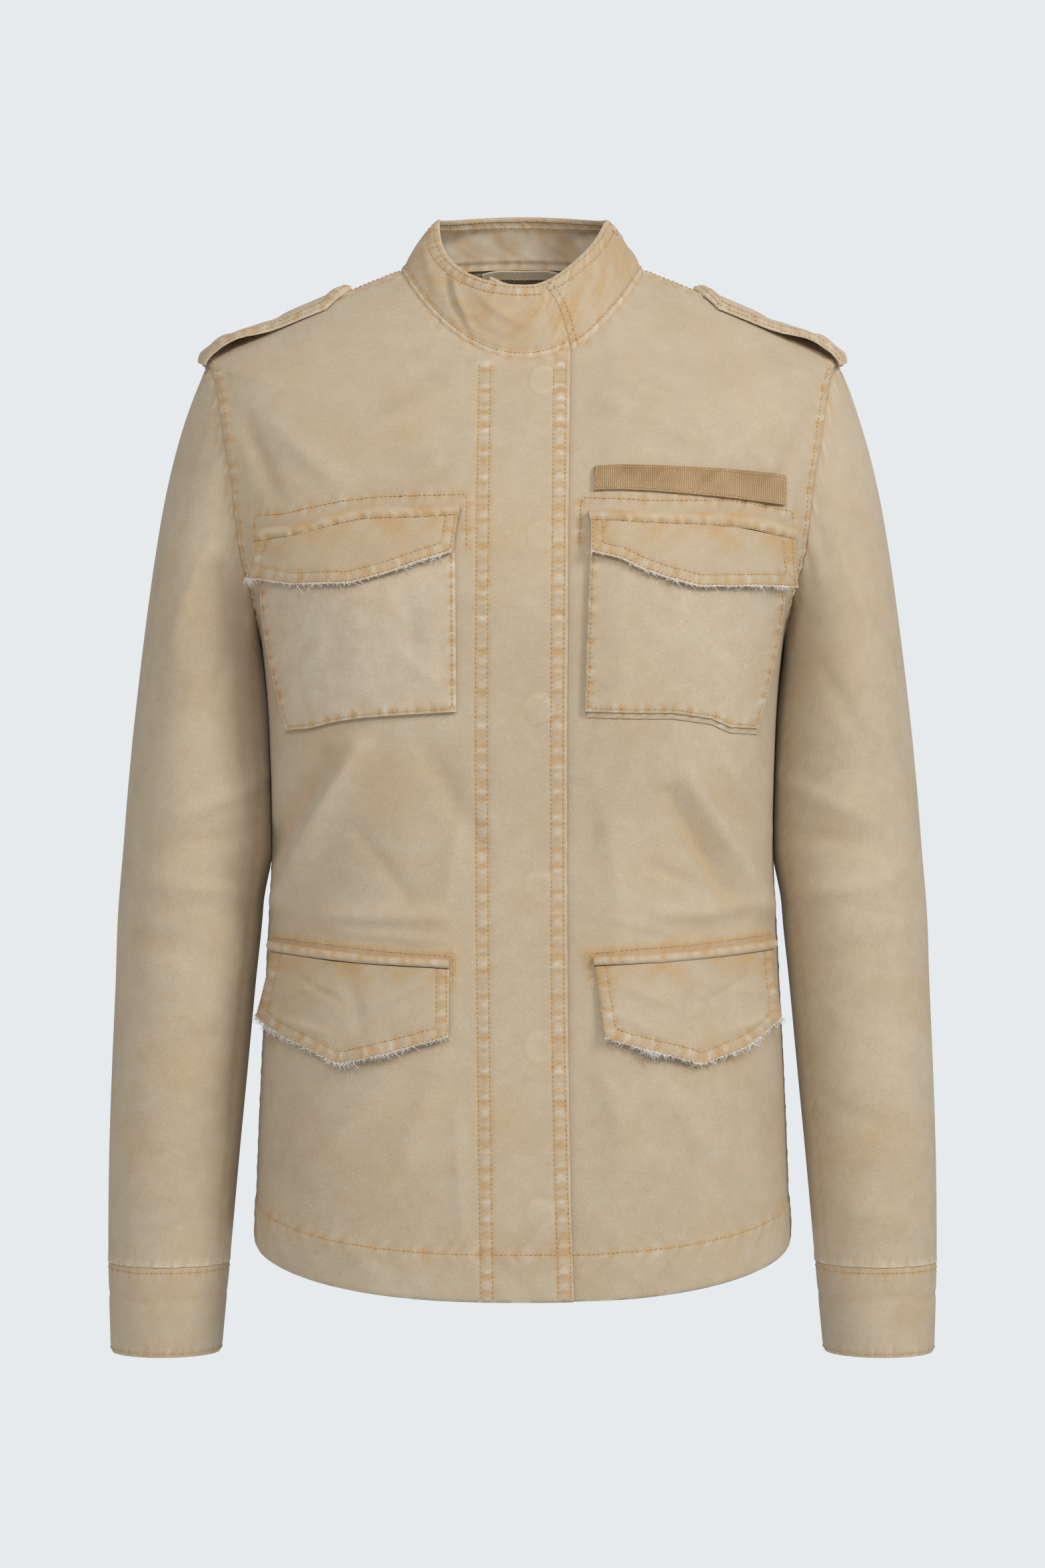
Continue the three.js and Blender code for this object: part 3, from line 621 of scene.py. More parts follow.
@dataclass
class Cloth:
    """A cloth's outer grid with its normals, chart and relief, ready to be made a wall."""

    points: Grid
    normals: Grid
    chart: Grid
    relief: Relief
    closed: bool = False
    settled: Grid = field(init=False)
    facing: Grid = field(init=False)

    def __post_init__(self) -> None:
        """Move each point out along its normal by the relief."""
        self.settled = self.points + self.normals * self.relief.rise[..., None]
        self.facing = grid_normals(self.settled, self.closed)
        flip = np.sum(self.facing * self.normals, axis=-1, keepdims=True) < 0.0
        self.facing = np.where(flip, -self.facing, self.facing)

    def wall(
        self, name: str, thickness: float, replaces: Sequence[str] = (), painted_inner_light: float = 0.0
    ) -> Piece:
        """Close the cloth with an inner grid set in along the normals, and rims between.

        Args:
            name: The object's name.
            thickness: How far in the inner grid lies.
            replaces: The CAD nodes that it stands for.
            painted_inner_light: How much paler the inner face is painted, as painted light on a face that
                sits in shade.

        Returns:
            The finished object.
        """
        rows, columns = self.points.shape[:2]
        depth = np.maximum(thickness - self.relief.thin, 0.35 * thickness)
        inner = self.settled - self.normals * depth[..., None]
        places = np.concatenate([self.settled.reshape(-1, 3), inner.reshape(-1, 3)])
        number = np.arange(rows * columns).reshape(rows, columns)
        if self.closed:
            number = np.concatenate([number, number[:, :1]], axis=1)
        size = rows * columns
        outer = np.stack([number[:-1, :-1], number[:-1, 1:], number[1:, 1:], number[1:, :-1]], axis=-1)
        faces = [outer.reshape(-1, 4), (outer.reshape(-1, 4) + size)[:, ::-1]]
        rims = [number[0], number[-1][::-1]]
        if not self.closed:
            rims += [number[:, 0][::-1], number[:, -1]]
        for rim in rims:
            faces.append(np.stack([rim[:-1], rim[:-1] + size, rim[1:] + size, rim[1:]], axis=-1))
        quads = np.concatenate(faces)
        if self.turned_in():
            quads = quads[:, ::-1]
        chart = np.tile(self.chart.reshape(-1, 2), (2, 1))[quads]
        if self.closed:
            behind = np.ptp(chart[..., 0], axis=1, keepdims=True) > 0.5 * SLEEVE_AROUND
            small = np.abs(chart[..., 0]) < 0.5 * SLEEVE_AROUND
            chart[..., 0] += np.sign(self.chart[0, -1, 0]) * SLEEVE_AROUND * (behind & small)
        made = make_mesh(name, places, quads, chart)
        pale = self.relief.pale.ravel()
        # The inner face's added paleness is painted light, lifting a face that sits in shade.
        tint(made, rust=np.tile(self.relief.rust.ravel(), 2), pale=np.concatenate([pale, pale + painted_inner_light]))
        made.data.set_sharp_from_angle(angle=math.radians(62.0))
        if replaces:
            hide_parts(*replaces)
        return made

    def turned_in(self) -> bool:
        """Whether the grid's own faces look against its normals."""
        across, down = np.diff(self.settled, axis=1)[:-1], np.diff(self.settled, axis=0)[:, :-1]
        return float(np.sum(np.cross(across, down) * self.normals[:-1, :-1])) < 0.0

    def settle(self, places: Grid) -> tuple[Grid, Grid]:
        """Lay places onto the finished cloth: the mean of its four nearest points' planes.

        Args:
            places: The places to lay down.

        Returns:
            The places on the cloth, and the cloth's normals there.
        """
        nodes = self.settled.reshape(-1, 3)
        faces = self.facing.reshape(-1, 3)
        laid = np.empty_like(places)
        normals = np.empty_like(places)
        for start in range(0, len(places), 64):
            some = places[start : start + 64]
            gaps = np.linalg.norm(some[:, None] - nodes[None], axis=-1)
            near = np.argpartition(gaps, 4, axis=1)[:, :4]
            weight = 1.0 / (np.take_along_axis(gaps, near, axis=1) + 0.05) ** 2
            weight /= weight.sum(axis=1, keepdims=True)
            normal = unit(np.einsum("ij,ijk->ik", weight, faces[near]))
            rise = np.einsum("ijk,ik->ij", nodes[near] - some[:, None], normal)
            laid[start : start + 64] = some + normal * np.sum(weight * rise, axis=1)[:, None]
            normals[start : start + 64] = normal
        return laid, normals


def tubes(spine: Grid, radii: Grid, side: Grid, other: Grid, sides: int) -> tuple[Grid, Grid]:
    """Closed tubes: round each place of a spine, radius times (cosine times side plus sine times other).

    Args:
        spine: Tubes by places by 3.
        radii: The radius at each place.
        side: A way across each tube, at one place or at all.
        other: The way square to it, with side crossed with it looking along the tube.
        sides: How many sides a tube has.

    Returns:
        The rings' places, and the triangles, which look outward.
    """
    count, stops = spine.shape[:2]
    turn = 2.0 * np.pi * np.arange(sides) / sides
    ring = np.cos(turn)[:, None] * side[:, :, None] + np.sin(turn)[:, None] * other[:, :, None]
    places = (spine[:, :, None] + radii[:, None, None] * ring).reshape(-1, 3)
    j, i = np.meshgrid(np.arange(stops - 1), np.arange(sides), indexing="ij")
    here, after = j * sides + i, j * sides + (i + 1) % sides
    lower = np.stack([here, after, after + sides], axis=-1).reshape(-1, 3)
    upper = np.stack([here, after + sides, here + sides], axis=-1).reshape(-1, 3)
    fan = np.arange(1, sides - 1)
    start = np.stack([0 * fan, fan + 1, fan], axis=-1)
    end = np.stack([0 * fan, fan, fan + 1], axis=-1) + (stops - 1) * sides
    own = np.concatenate([lower, upper, start, end])
    return places, (np.arange(count)[:, None, None] * stops * sides + own[None]).reshape(-1, 3)


@dataclass
class Stitching:
    """The stitches of one sub-assembly, gathered up and made as one piece."""

    name: str
    pitch: float = 2.9
    share: float = 0.80
    radius: float = 0.34
    sides: int = 4
    batches: list[tuple[Grid, Grid, Grid]] = field(default_factory=list)

    def row(self, cloth: Cloth, line: Line, lift: float = 0.16) -> None:
        """Sew along a line: one stitch from each place to near the next, on the cloth.

        Args:
            cloth: What is sewn.
            line: The seam's line near the cloth.
            lift: How far the thread's middle stands off the cloth.
        """
        stops = line.spaced(self.pitch)
        laid, normals = cloth.settle(stops)
        start = laid[:-1]
        end = laid[:-1] + self.share * (laid[1:] - laid[:-1])
        normal = unit(normals[:-1] + normals[1:])
        self.batches.append((start + lift * normal, end + lift * normal, normal))

    def make(self) -> Piece:
        """Carry a small ring along each stitch: thin and sunk at both ends, full between.

        Returns:
            The stitches as one object.
        """
        start, end, normal = (np.concatenate(part) for part in zip(*self.batches, strict=True))
        way = unit(end - start)
        side = unit(np.cross(way, normal))
        shares = np.array([0.0, 0.16, 0.5, 0.84, 1.0])
        radii = self.radius * np.array([0.25, 0.85, 1.0, 0.85, 0.25])
        sinks = np.array([-0.30, 0.02, 0.12, 0.02, -0.30])
        spine = start[:, None] + shares[None, :, None] * (end - start)[:, None]
        spine += sinks[None, :, None] * normal[:, None]
        places, triangles = tubes(spine, radii, side[:, None], -normal[:, None], self.sides)
        count = len(shares) * self.sides
        twist = np.tile(np.arange(self.sides), len(start) * len(shares)) / self.sides
        along = np.tile(np.repeat(shares, self.sides), len(start)) * self.share * self.pitch
        uv = np.stack([along, twist], axis=-1)
        made = make_mesh(self.name, places, triangles, uv[triangles])
        wash = 0.5 + 0.5 * ripple(np.arange(len(start)), 7.3, 1.0)
        tint(made, rust=np.repeat(0.55 * wash, count), pale=np.repeat(0.6 * (1.0 - wash), count))
        return made


def inset(line: Line, cloth: Cloth, amount: float) -> Line:
    """A line moved sideways on the cloth: along its way crossed with the cloth's normal.

    Args:
        line: The line.
        cloth: The cloth that it lies on.
        amount: How far it moves.

    Returns:
        The moved line.
    """
    stops = line.spaced(4.0)
    laid, normals = cloth.settle(stops)
    side = unit(np.cross(np.gradient(laid, axis=0), normals))
    return Line(laid + amount * side)


def spread(*runs: tuple[float, float, int]) -> Grid:
    """Grid places from runs of even steps, each given as start, end and step count."""
    parts = [np.linspace(start, end, count + 1)[:-1] for start, end, count in runs]
    return np.concatenate([*parts, [runs[-1][1]]])


@dataclass
class Body:
    """The two fronts and the back, with the fly, hem, armhole and shoulder seams."""

    sewing: Stitching
    rows: int = 150
    armhole_rows: int = 92
    shoulder_rows: int = 56
    hem_extra: float = 0.8
    fly_edge: Pairs = (
        (-609, 31.0), (-560, 29.3), (-430, 27.2), (-300, 26.9), (-200, 27.5), (0, 29.5))
    fly_rows: tuple[Pairs, ...] = (
        ((-19.4, -66), (-20.4, -160), (-21.2, -292), (-20.4, -430), (-18.6, -560), (-17.6, -632)),
        ((-26.3, -66), (-27.4, -160), (-28.2, -292), (-27.4, -430), (-25.8, -560), (-24.8, -632)))
    edge_rows: tuple[float, ...] = (2.3, 9.6)
    snaps: Pairs = (
        (12.6, -76.3), (11.2, -173.7), (10.0, -277.7), (10.0, -384.4), (10.0, -481.7), (11.2, -580.9))
    folds: dict[Panel, Table] = field(default_factory=lambda: {
        Panel.FRONT_RIGHT: (
            (-100, -301, -150, -396, 11, 5.0), (-121, -306, -158, -366, 9, -3.8),
            (-89, -290, -128, -352, 5, 1.2), (-60, -300, -20, -372, 13, -1.6),
            (-122, -404, -52, -402, 9, 2.4), (-118, -412, -48, -418, 4, 1.0),
            (-130, -560, -84, -508, 16, 2.2), (-70, -545, -52, -500, 12, 1.2),
            (-44, -84, -96, -108, 12, 1.6), (-150, -104, -110, -142, 12, 1.6),
            (-172, -96, -150, -150, 9, -1.6), (-36, -330, -46, -402, 9, 1.0),
            (-100, -352, -66, -398, 8, -1.0), (-40, -520, -36, -596, 8, 0.9),
            (-140, -512, -156, -560, 10, -1.4)),
        Panel.FRONT_LEFT: (
            (100, -318, 150, -398, 11, 4.6), (88, -330, 132, -404, 10, -3.4),
            (78, -372, 112, -388, 5, -1.3), (118, -300, 152, -352, 6, 1.2),
            (84, -402, 142, -398, 9, 2.4), (62, -302, 34, -368, 13, -1.6),
            (128, -556, 84, -505, 16, 2.2), (62, -540, 50, -498, 12, 1.2),
            (50, -86, 108, -112, 12, 1.6), (150, -100, 116, -126, 12, 1.5),
            (176, -98, 152, -150, 9, -1.5), (44, -318, 60, -398, 9, 0.9),
            (52, -404, 96, -414, 4, 0.9), (150, -520, 158, -566, 10, -1.2)),
        Panel.BACK: (
            (-150, -300, -70, -352, 12, 3.4), (152, -292, 64, -346, 12, 3.6),
            (-140, -372, -40, -398, 13, 2.8), (136, -366, 46, -404, 13, 2.6),
            (-150, -212, -112, -282, 12, 3.0), (150, -208, 116, -276, 12, 3.0),
            (-20, -330, 24, -338, 14, -2.2), (-96, -560, -82, -470, 18, 2.6),
            (92, -565, 78, -480, 18, 2.6), (-60, -60, -40, -150, 16, 1.6),
            (58, -64, 44, -160, 16, 1.6), (-100, -430, -30, -452, 10, 1.4),
            (20, -448, 96, -424, 10, 1.3), (-6, -220, 2, -300, 18, -1.4)),
    })
    cloths: dict[Panel, Cloth] = field(default_factory=dict)
    armholes: dict[tuple[Panel, Side], Line] = field(default_factory=dict)

    def levels(self) -> Grid:
        """The rows' levels, closer round the ends of the armhole.

        Returns:
            The levels, from the hem up.
        """
        swing = (1.0 - np.cos(np.linspace(0.0, np.pi, self.armhole_rows + 1))) / 2.0
        hole = UNDERARM + (SHOULDER_TIP - UNDERARM) * swing
        low = spread((HEM, HEM_TOP, HEM_ROWS), (HEM_TOP, UNDERARM, self.rows))
        high = np.linspace(SHOULDER_TIP, NECK, self.shoulder_rows + 1)
        return np.concatenate([low, hole[1:], high[1:]])

    def columns(self, panel: Panel) -> Grid:
        """The columns' shares, closer along the fly.

        Args:
            panel: Which panel.

        Returns:
            Shares from one side to the other.
        """
        if panel is Panel.FRONT_RIGHT:
            return spread((0.0, 0.32, 56), (0.32, 1.0, 58))
        return np.linspace(0.0, 1.0, 97 if panel is Panel.FRONT_LEFT else 115)

    def edges(self, panel: Panel, level: Grid) -> tuple[Grid, Grid]:
        """The bearings of a panel's two sides at each level.

        Args:
            panel: Which panel.
            level: The rings.

        Returns:
            The first side's bearings and the last side's.
        """
        seam = BODY.seam_bearing(level, panel is Panel.BACK)
        if panel is Panel.BACK:
            return 2.0 * np.pi - seam, seam
        if panel is Panel.FRONT_LEFT:
            return BODY.bearing_across(LEFT_EDGE, level), seam
        return BODY.bearing_across(column_curve(self.fly_edge, 1, level), level), -seam

    def panel(self, panel: Panel) -> Cloth:
        """A panel's cloth: places between its two sides, with folds, seams and fly.

        Args:
            panel: Which panel.

        Returns:
            The cloth, kept for the pieces that are sewn to it.
        """
        level = self.levels()[:, None]
        share = self.columns(panel)[None, :]
        start, end = self.edges(panel, level)
        bearing = start + (end - start) * share
        level = np.broadcast_to(level, bearing.shape)
        points = BODY.point(bearing, level)
        normals = BODY.normal(bearing, level)
        relief = Relief.level(bearing.shape)
        places = points[..., [0, 2]]
        fade = smooth(np.abs(points[..., 1]), 0.0, 30.0)
        for row in self.folds[panel]:
            relief.fold(places, row, fade)
        across = np.concatenate([[[0.0]] * len(points), np.cumsum(
            np.linalg.norm(np.diff(points, axis=1), axis=-1), axis=1)], axis=1)
        up = Line(points[:, points.shape[1] // 2]).along
        sign = -1.0 if panel is not Panel.FRONT_LEFT else 1.0
        offset = {Panel.FRONT_RIGHT: 28.0, Panel.FRONT_LEFT: -26.0, Panel.BACK: 700.0}[panel]
        chart = np.stack([offset + sign * across, np.broadcast_to(up[:, None], across.shape)], axis=-1)
        self.seams(panel, points, places, relief)
        cloth = Cloth(points, normals, chart, relief)
        self.cloths[panel] = cloth
        return cloth

    def seams(self, panel: Panel, points: Grid, places: Grid, relief: Relief) -> None:
        """Add a panel's seams to its relief: side, armhole, shoulder, neck, hem and fly.

        Args:
            panel: Which panel.
            points: Its smooth points.
            places: Their chart.
            relief: What the seams are added to.
        """
        first = HEM_ROWS + self.rows
        last = first + self.armhole_rows
        sides = {Panel.FRONT_RIGHT: ((-1, Side.RIGHT),), Panel.FRONT_LEFT: ((-1, Side.LEFT),),
                 Panel.BACK: ((0, Side.RIGHT), (-1, Side.LEFT))}[panel]
        for index, side in sides:
            edge = points[:, index]
            seed = 1.3 * index + side.value + 3.0 * len(panel.value)
            along, near = Line(edge[: first + 1 : 6]).measure(points)
            relief.pucker(along, near, seed, 5.0, 0.45, 9.0)
            relief.close(near, 0.9)
            hole = Line(edge[first : last + 1 : 2])
            self.armholes[panel, side] = hole
            along, near = hole.measure(points)
            relief.rise += 0.9 * smooth(near, 9.5, 7.5)
            relief.stitched(along, np.abs(near - ARMHOLE_ROW), seed)
            relief.pucker(along, np.abs(near - 4.0), seed, 3.4, 0.72)
            relief.worn(along, near, seed, 12.0, 0.25)
            relief.close(near, 0.3)
            along, near = Line(edge[last::4]).measure(points)
            relief.rise += 0.8 * smooth(near, 8.0, 6.0) * (panel is Panel.BACK)
            relief.pucker(along, near, seed + 1.0, 5.0, 0.4)
            relief.close(near, 0.4)
        along, near = Line(points[-1, ::4]).measure(points)
        relief.pucker(along, near, 2.0, 5.0, 0.16, 10.0)
        relief.close(near, 0.3)
        self.hem(panel, points, relief)
        if panel is Panel.FRONT_RIGHT:
            self.fly(points, places, relief)
        if panel is Panel.FRONT_LEFT:
            relief.rise -= LAP_DROP * lapped(places[..., 0])
        if panel is not Panel.BACK:
            self.backing(panel, points, relief)

    def hem(self, panel: Panel, points: Grid, relief: Relief) -> None:
        """The turned-up hem: a thicker band with a worn, roped lower edge and one row above.

        Args:
            panel: Which panel.
            points: Its smooth points.
            relief: What it is added to.
        """
        along, near = Line(points[HEM_ROWS, ::3]).measure(points)
        below = np.arange(points.shape[0])[:, None] <= HEM_ROWS
        relief.rise += self.hem_extra * np.where(below, 1.0, smooth(near, 2.5, 0.5))
        relief.stitched(along, near, 4.0 + len(panel.value), 0.55)
        relief.pucker(along + 0.4 * near, near, 2.4 + len(panel.value), 5.0, 0.28, 11.0)
        relief.worn(along, near, 1.0, 12.0, 0.20)
        slant = ripple(along + 0.8 * near, 34.0, 1.1 + len(panel.value))
        slant = slant * np.where(below, bell(near - 12.0, 11.0), 0.0)
        relief.rise += 0.55 * slant
        relief.pale += 0.20 * np.clip(slant, 0.0, 1.0)
        along, near = Line(points[0, ::3]).measure(points)
        relief.edge(near, 2.6, along, 3.0)

    def fly(self, points: Grid, places: Grid, relief: Relief) -> None:
        """The placket's twin rows, its worn edge and the prints of the snaps beneath.

        Args:
            points: The front's smooth points.
            places: Their chart.
            relief: What it is added to.
        """
        level = np.linspace(HEM, NECK, 90)
        edge_x = column_curve(self.fly_edge, 1, level)
        edge = Line(BODY.point(BODY.bearing_across(edge_x, level), level))
        along, near = edge.measure(points)
        relief.edge(near, 2.4, along, 6.0)
        for offset in self.edge_rows:
            relief.stitched(along, np.abs(near - offset), offset, 0.42)
        relief.pucker(along, np.abs(near - 5.9), 7.0, 3.6, 0.74, 8.0)
        relief.worn(along, near, 4.0, 16.0, 0.30)
        for number, chart in enumerate(self.fly_rows):
            along, near = BODY.front_line(chart).measure(points)
            relief.stitched(along, near, 3.0 + number, 0.42)
        middle = 0.5 * (np.asarray(self.fly_rows[0]) + np.asarray(self.fly_rows[1]))
        along, near = BODY.front_line(middle).measure(points)
        relief.pucker(along, near, 8.0, 3.3, 0.74, 8.0)
        relief.worn(along, near, 9.0, 9.0, 0.22)
        relief.rise += 0.5 * smooth(places[..., 0], -25.0, -22.0)
        for across, height in self.snaps:
            gap = np.hypot(places[..., 0] - across, places[..., 1] - height)
            dip = 0.22 * bell(gap - 10.2, 1.3) + 0.15 * bell(gap, 3.2)
            relief.rise += 0.45 * smooth(gap, 9.8, 7.4) - dip
            relief.pale += 0.26 * bell(gap - 8.2, 1.3) + 0.12 * smooth(gap, 9.0, 7.0)
            relief.rust += 0.16 * bell(gap - 10.3, 1.2)

    def backing_line(self, panel: Panel) -> Line:
        """The row that holds the chest pocket's backing, as it shows on the front.

        Args:
            panel: Which front.

        Returns:
            The row in space.
        """
        if panel is Panel.FRONT_RIGHT:
            chart = ((-164.6, -176), (-165, -158), (-145, -158), (-128.5, -154.5), (-106, -150.8),
                     (-84.7, -148.8), (-63, -148.5), (-33.4, -147.9), (-33.7, -180))
        else:
            chart = ((34.1, -180), (35.4, -148.3), (56.5, -150.2), (79, -151.3), (125, -150.4),
                     (148.5, -153.4), (166.5, -156), (166.0, -176))
        return BODY.front_line(chart)

    def welt_lines(self, panel: Panel) -> tuple[Line, ...]:
        """The rows above a hip pocket's lip, and the bar of stitches at its inner end.

        Args:
            panel: Which front.

        Returns:
            The two rows in space.
        """
        if panel is Panel.FRONT_RIGHT:
            top = ((-155.5, -426), (-155.5, -417.4), (-121, -420), (-97, -422.6), (-69, -425.2),
                   (-41.8, -426.6))
            bar = ((-41.8, -426.6), (-41.8, -443.5))
        else:
            top = ((154.6, -424), (154.6, -415.4), (127.6, -417.9), (100.5, -420.6), (74, -422.2),
                   (40.8, -425.2))
            bar = ((40.8, -425.2), (41.4, -441))
        return BODY.front_line(top), BODY.front_line(bar)

    def backing(self, panel: Panel, points: Grid, relief: Relief) -> None:
        """The backing's outline: a furrow with uneven gathers.

        Args:
            panel: Which panel.
            points: Its smooth points.
            relief: What it is added to.
        """
        along, near = self.backing_line(panel).measure(points)
        relief.stitched(along, near, 11.0 + len(panel.value), 0.5)
        relief.pucker(along, near, 12.0 + len(panel.value), 4.0, 0.35, 8.0)
        relief.worn(along, near, 2.0 + len(panel.value), 9.0, 0.34)
        for line in self.welt_lines(panel):
            along, near = line.measure(points)
            relief.stitched(along, near, 21.0 + line.length, 0.5)
            relief.pucker(along, near, 3.0 + line.length, 3.0, 0.25, 8.0)
            relief.rise += 0.8 * bell(near, 3.0)
            relief.rust += 0.55 * bell(near, 2.4)
            relief.worn(along, near, line.length, 11.0, 0.30)

    def build(self) -> None:
        """Make the three panels and sew their rows."""
        for panel in Panel:
            cloth = self.panel(panel)
            cloth.wall(panel.value + "_cloth", CLOTH, [panel.value])
            self.sew(panel, cloth)

    def sew(self, panel: Panel, cloth: Cloth) -> None:
        """Sew the rows that show on a panel: armhole, hem, shoulder, fly and backing.

        Args:
            panel: Which panel.
            cloth: Its cloth.
        """
        first = HEM_ROWS + self.rows
        last = first + self.armhole_rows
        sides = {Panel.FRONT_RIGHT: ((-1, 1.0),), Panel.FRONT_LEFT: ((-1, -1.0),),
                 Panel.BACK: ((0, -1.0), (-1, 1.0))}[panel]
        for index, turn in sides:
            edge = cloth.points[:, index]
            self.sewing.row(cloth, inset(Line(edge[first : last + 1]), cloth, turn * ARMHOLE_ROW))
            if panel is Panel.BACK:
                self.sewing.row(cloth, inset(Line(edge[last:]), cloth, turn * 6.0))
        self.sewing.row(cloth, Line(cloth.points[HEM_ROWS]))
        if panel is Panel.FRONT_RIGHT:
            heights = np.linspace(-66.0, -632.0, 60)
            edge = column_curve(self.fly_edge, 1, heights)
            for offset in self.edge_rows:
                self.sewing.row(cloth, BODY.front_line(np.stack([edge - offset, heights], axis=-1)))
            for chart in self.fly_rows:
                self.sewing.row(cloth, BODY.front_line(chart))
        if panel is not Panel.BACK:
            self.sewing.row(cloth, self.backing_line(panel))
            for line in self.welt_lines(panel):
                self.sewing.row(cloth, line)


@dataclass
class Sleeve:
    """One sleeve with its cuff, from the armhole to the wrist."""

    side: Side
    body: Body
    sewing: Stitching
    around: int = 100
    cap_rows: int = 62
    arm_rows: int = 130
    arm: Table = (
        (-262, 203.2, -2, 38.6, 63.0), (-300, 204.0, -2, 42.0, 61.0), (-350, 205.5, 0, 44.7, 58.0),
        (-400, 208.6, 3, 45.4, 55.0), (-450, 211.8, 6, 43.8, 52.5), (-500, 215.0, 9, 42.5, 50.0),
        (-560, 218.5, 13, 40.5, 46.0), (-621, 221.1, 17, 37.9, 41.0), (-677, 222.8, 19, 34.6, 37.0))
    lean: tuple[float, float] = (0.42, 0.9)
    press: float = 4.2
    slack: float = 0.5
    folds: Table = (
        (20, -318, 92, -344, 10, 2.8), (34, -352, 120, -366, 11, -2.4), (24, -392, 108, -384, 10, 2.8),
        (40, -434, 128, -418, 12, -2.0), (300, -330, 226, -356, 12, 3.0), (306, -380, 214, -392, 12, 3.2),
        (296, -424, 232, -436, 12, 2.4), (60, -586, 130, -600, 11, 1.8), (86, -150, 104, -236, 13, 2.2),
        (250, -152, 236, -240, 13, 2.4), (120, -292, 150, -340, 9, -1.2), (60, -470, 132, -492, 11, 1.4),
        (44, -520, 110, -540, 10, -1.3), (110, -560, 150, -604, 8, 1.1), (70, -398, 130, -408, 5, -1.0),
        (140, -120, 132, -200, 11, 1.5), (56, -250, 96, -300, 10, -1.4))

    def curve(self, column: int, height: Grid) -> Grid:
        """One column of the arm's table, as a smooth curve over the heights."""
        return column_curve(self.arm, column, height)

    def ring(self, share: Grid, height: Grid) -> Grid:
        """A place on a level ring: an ellipse about the arm's middle line.

        Args:
            share: The share of the way round, 0 facing the body and a quarter facing forward.
            height: The ring's height.

        Returns:
            The places.
        """
        turn = 2.0 * np.pi * share
        across = self.curve(1, height) - self.curve(3, height) * np.cos(turn)
        y = -self.curve(2, height) - self.curve(4, height) * np.sin(turn)
        return np.stack([self.side.value * across, y, height + 0.0 * share], axis=-1)

    def armhole(self, share: Grid) -> Grid:
        """The armhole's seam, up the front to a half and down the back to 1.

        Args:
            share: The shares of the way round.

        Returns:
            The seam's places.
        """
        front = Panel.FRONT_RIGHT if self.side is Side.RIGHT else Panel.FRONT_LEFT
        up = self.body.armholes[front, self.side]
        down = self.body.armholes[Panel.BACK, self.side]
        rise = up.at(np.clip(share * 2.0, 0.0, 1.0) * up.length)
        fall = down.at(np.clip(2.0 - share * 2.0, 0.0, 1.0) * down.length)
        return np.where((share <= 0.5)[:, None], rise, fall)

    def grid(self) -> tuple[Grid, Grid, Grid]:
        """The sleeve's smooth places: a cap of cubics from the armhole, then level rings.

        Returns:
            The places, and each one's way round and height on the folds' chart.
        """
        share = np.arange(self.around) / self.around
        starts = self.armhole(share)
        t = (np.arange(self.cap_rows) / self.cap_rows)[:, None, None]
        rest = 1.0 - t
        end = self.ring(share, np.full_like(share, CAP_END))
        ahead = self.ring(share, np.full_like(share, CAP_END - 10.0))
        chord = np.linalg.norm(end - starts, axis=-1)[None, :, None]
        lean = np.array([self.side.value * self.lean[0], 0.0, -self.lean[1]])
        cap = (
            (1.0 + 2.0 * t) * rest * rest * starts
            + t * rest * rest * chord * lean
            + t * t * (3.0 - 2.0 * t) * end
            - t * t * rest * chord * unit(ahead - end)
        )
        heights = np.linspace(CAP_END, CUFF_SEAM, self.arm_rows + 1)
        rings = self.ring(share[None, :], heights[:, None] * np.ones_like(share)[None, :])
        points = np.concatenate([cap, rings])
        points[0] += 0.9 * unit(points[0] - points[1])
        around = np.broadcast_to(share * SLEEVE_AROUND, points.shape[:2])
        return self.pressed(points, np.cos(2.0 * np.pi * share)[None, :]), around, points[..., 2]

    def pressed(self, points: Grid, inner: Grid) -> Grid:
        """Press the sleeve's inner side against the body between the underarm and the waist.

        Args:
            points: The sleeve's places.
            inner: How squarely each column faces the body.

        Returns:
            The places, moved towards the body's side and never closer than 0.9 to it.
        """
        height = np.clip(points[..., 2], HEM, NECK)
        mask = smooth(height, -400.0, -360.0) * smooth(height, -205.0, -240.0)
        squeeze = self.press * mask * np.clip(inner, 0.0, 1.0) ** 2
        depth = np.where(points[..., 1] < 0.0, BODY.curve(2, height), BODY.curve(4, height))
        power = BODY.curve(6, height)
        side = (1.0 - np.clip(np.abs(points[..., 1]) / depth, 0.0, 1.0) ** power) ** (1.0 / power)
        limit = BODY.curve(1, height) * side + 0.9
        across = np.abs(points[..., 0])
        moved = np.minimum(across, np.maximum(across - squeeze, limit))
        return np.stack([self.side.value * moved, points[..., 1], points[..., 2]], axis=-1)

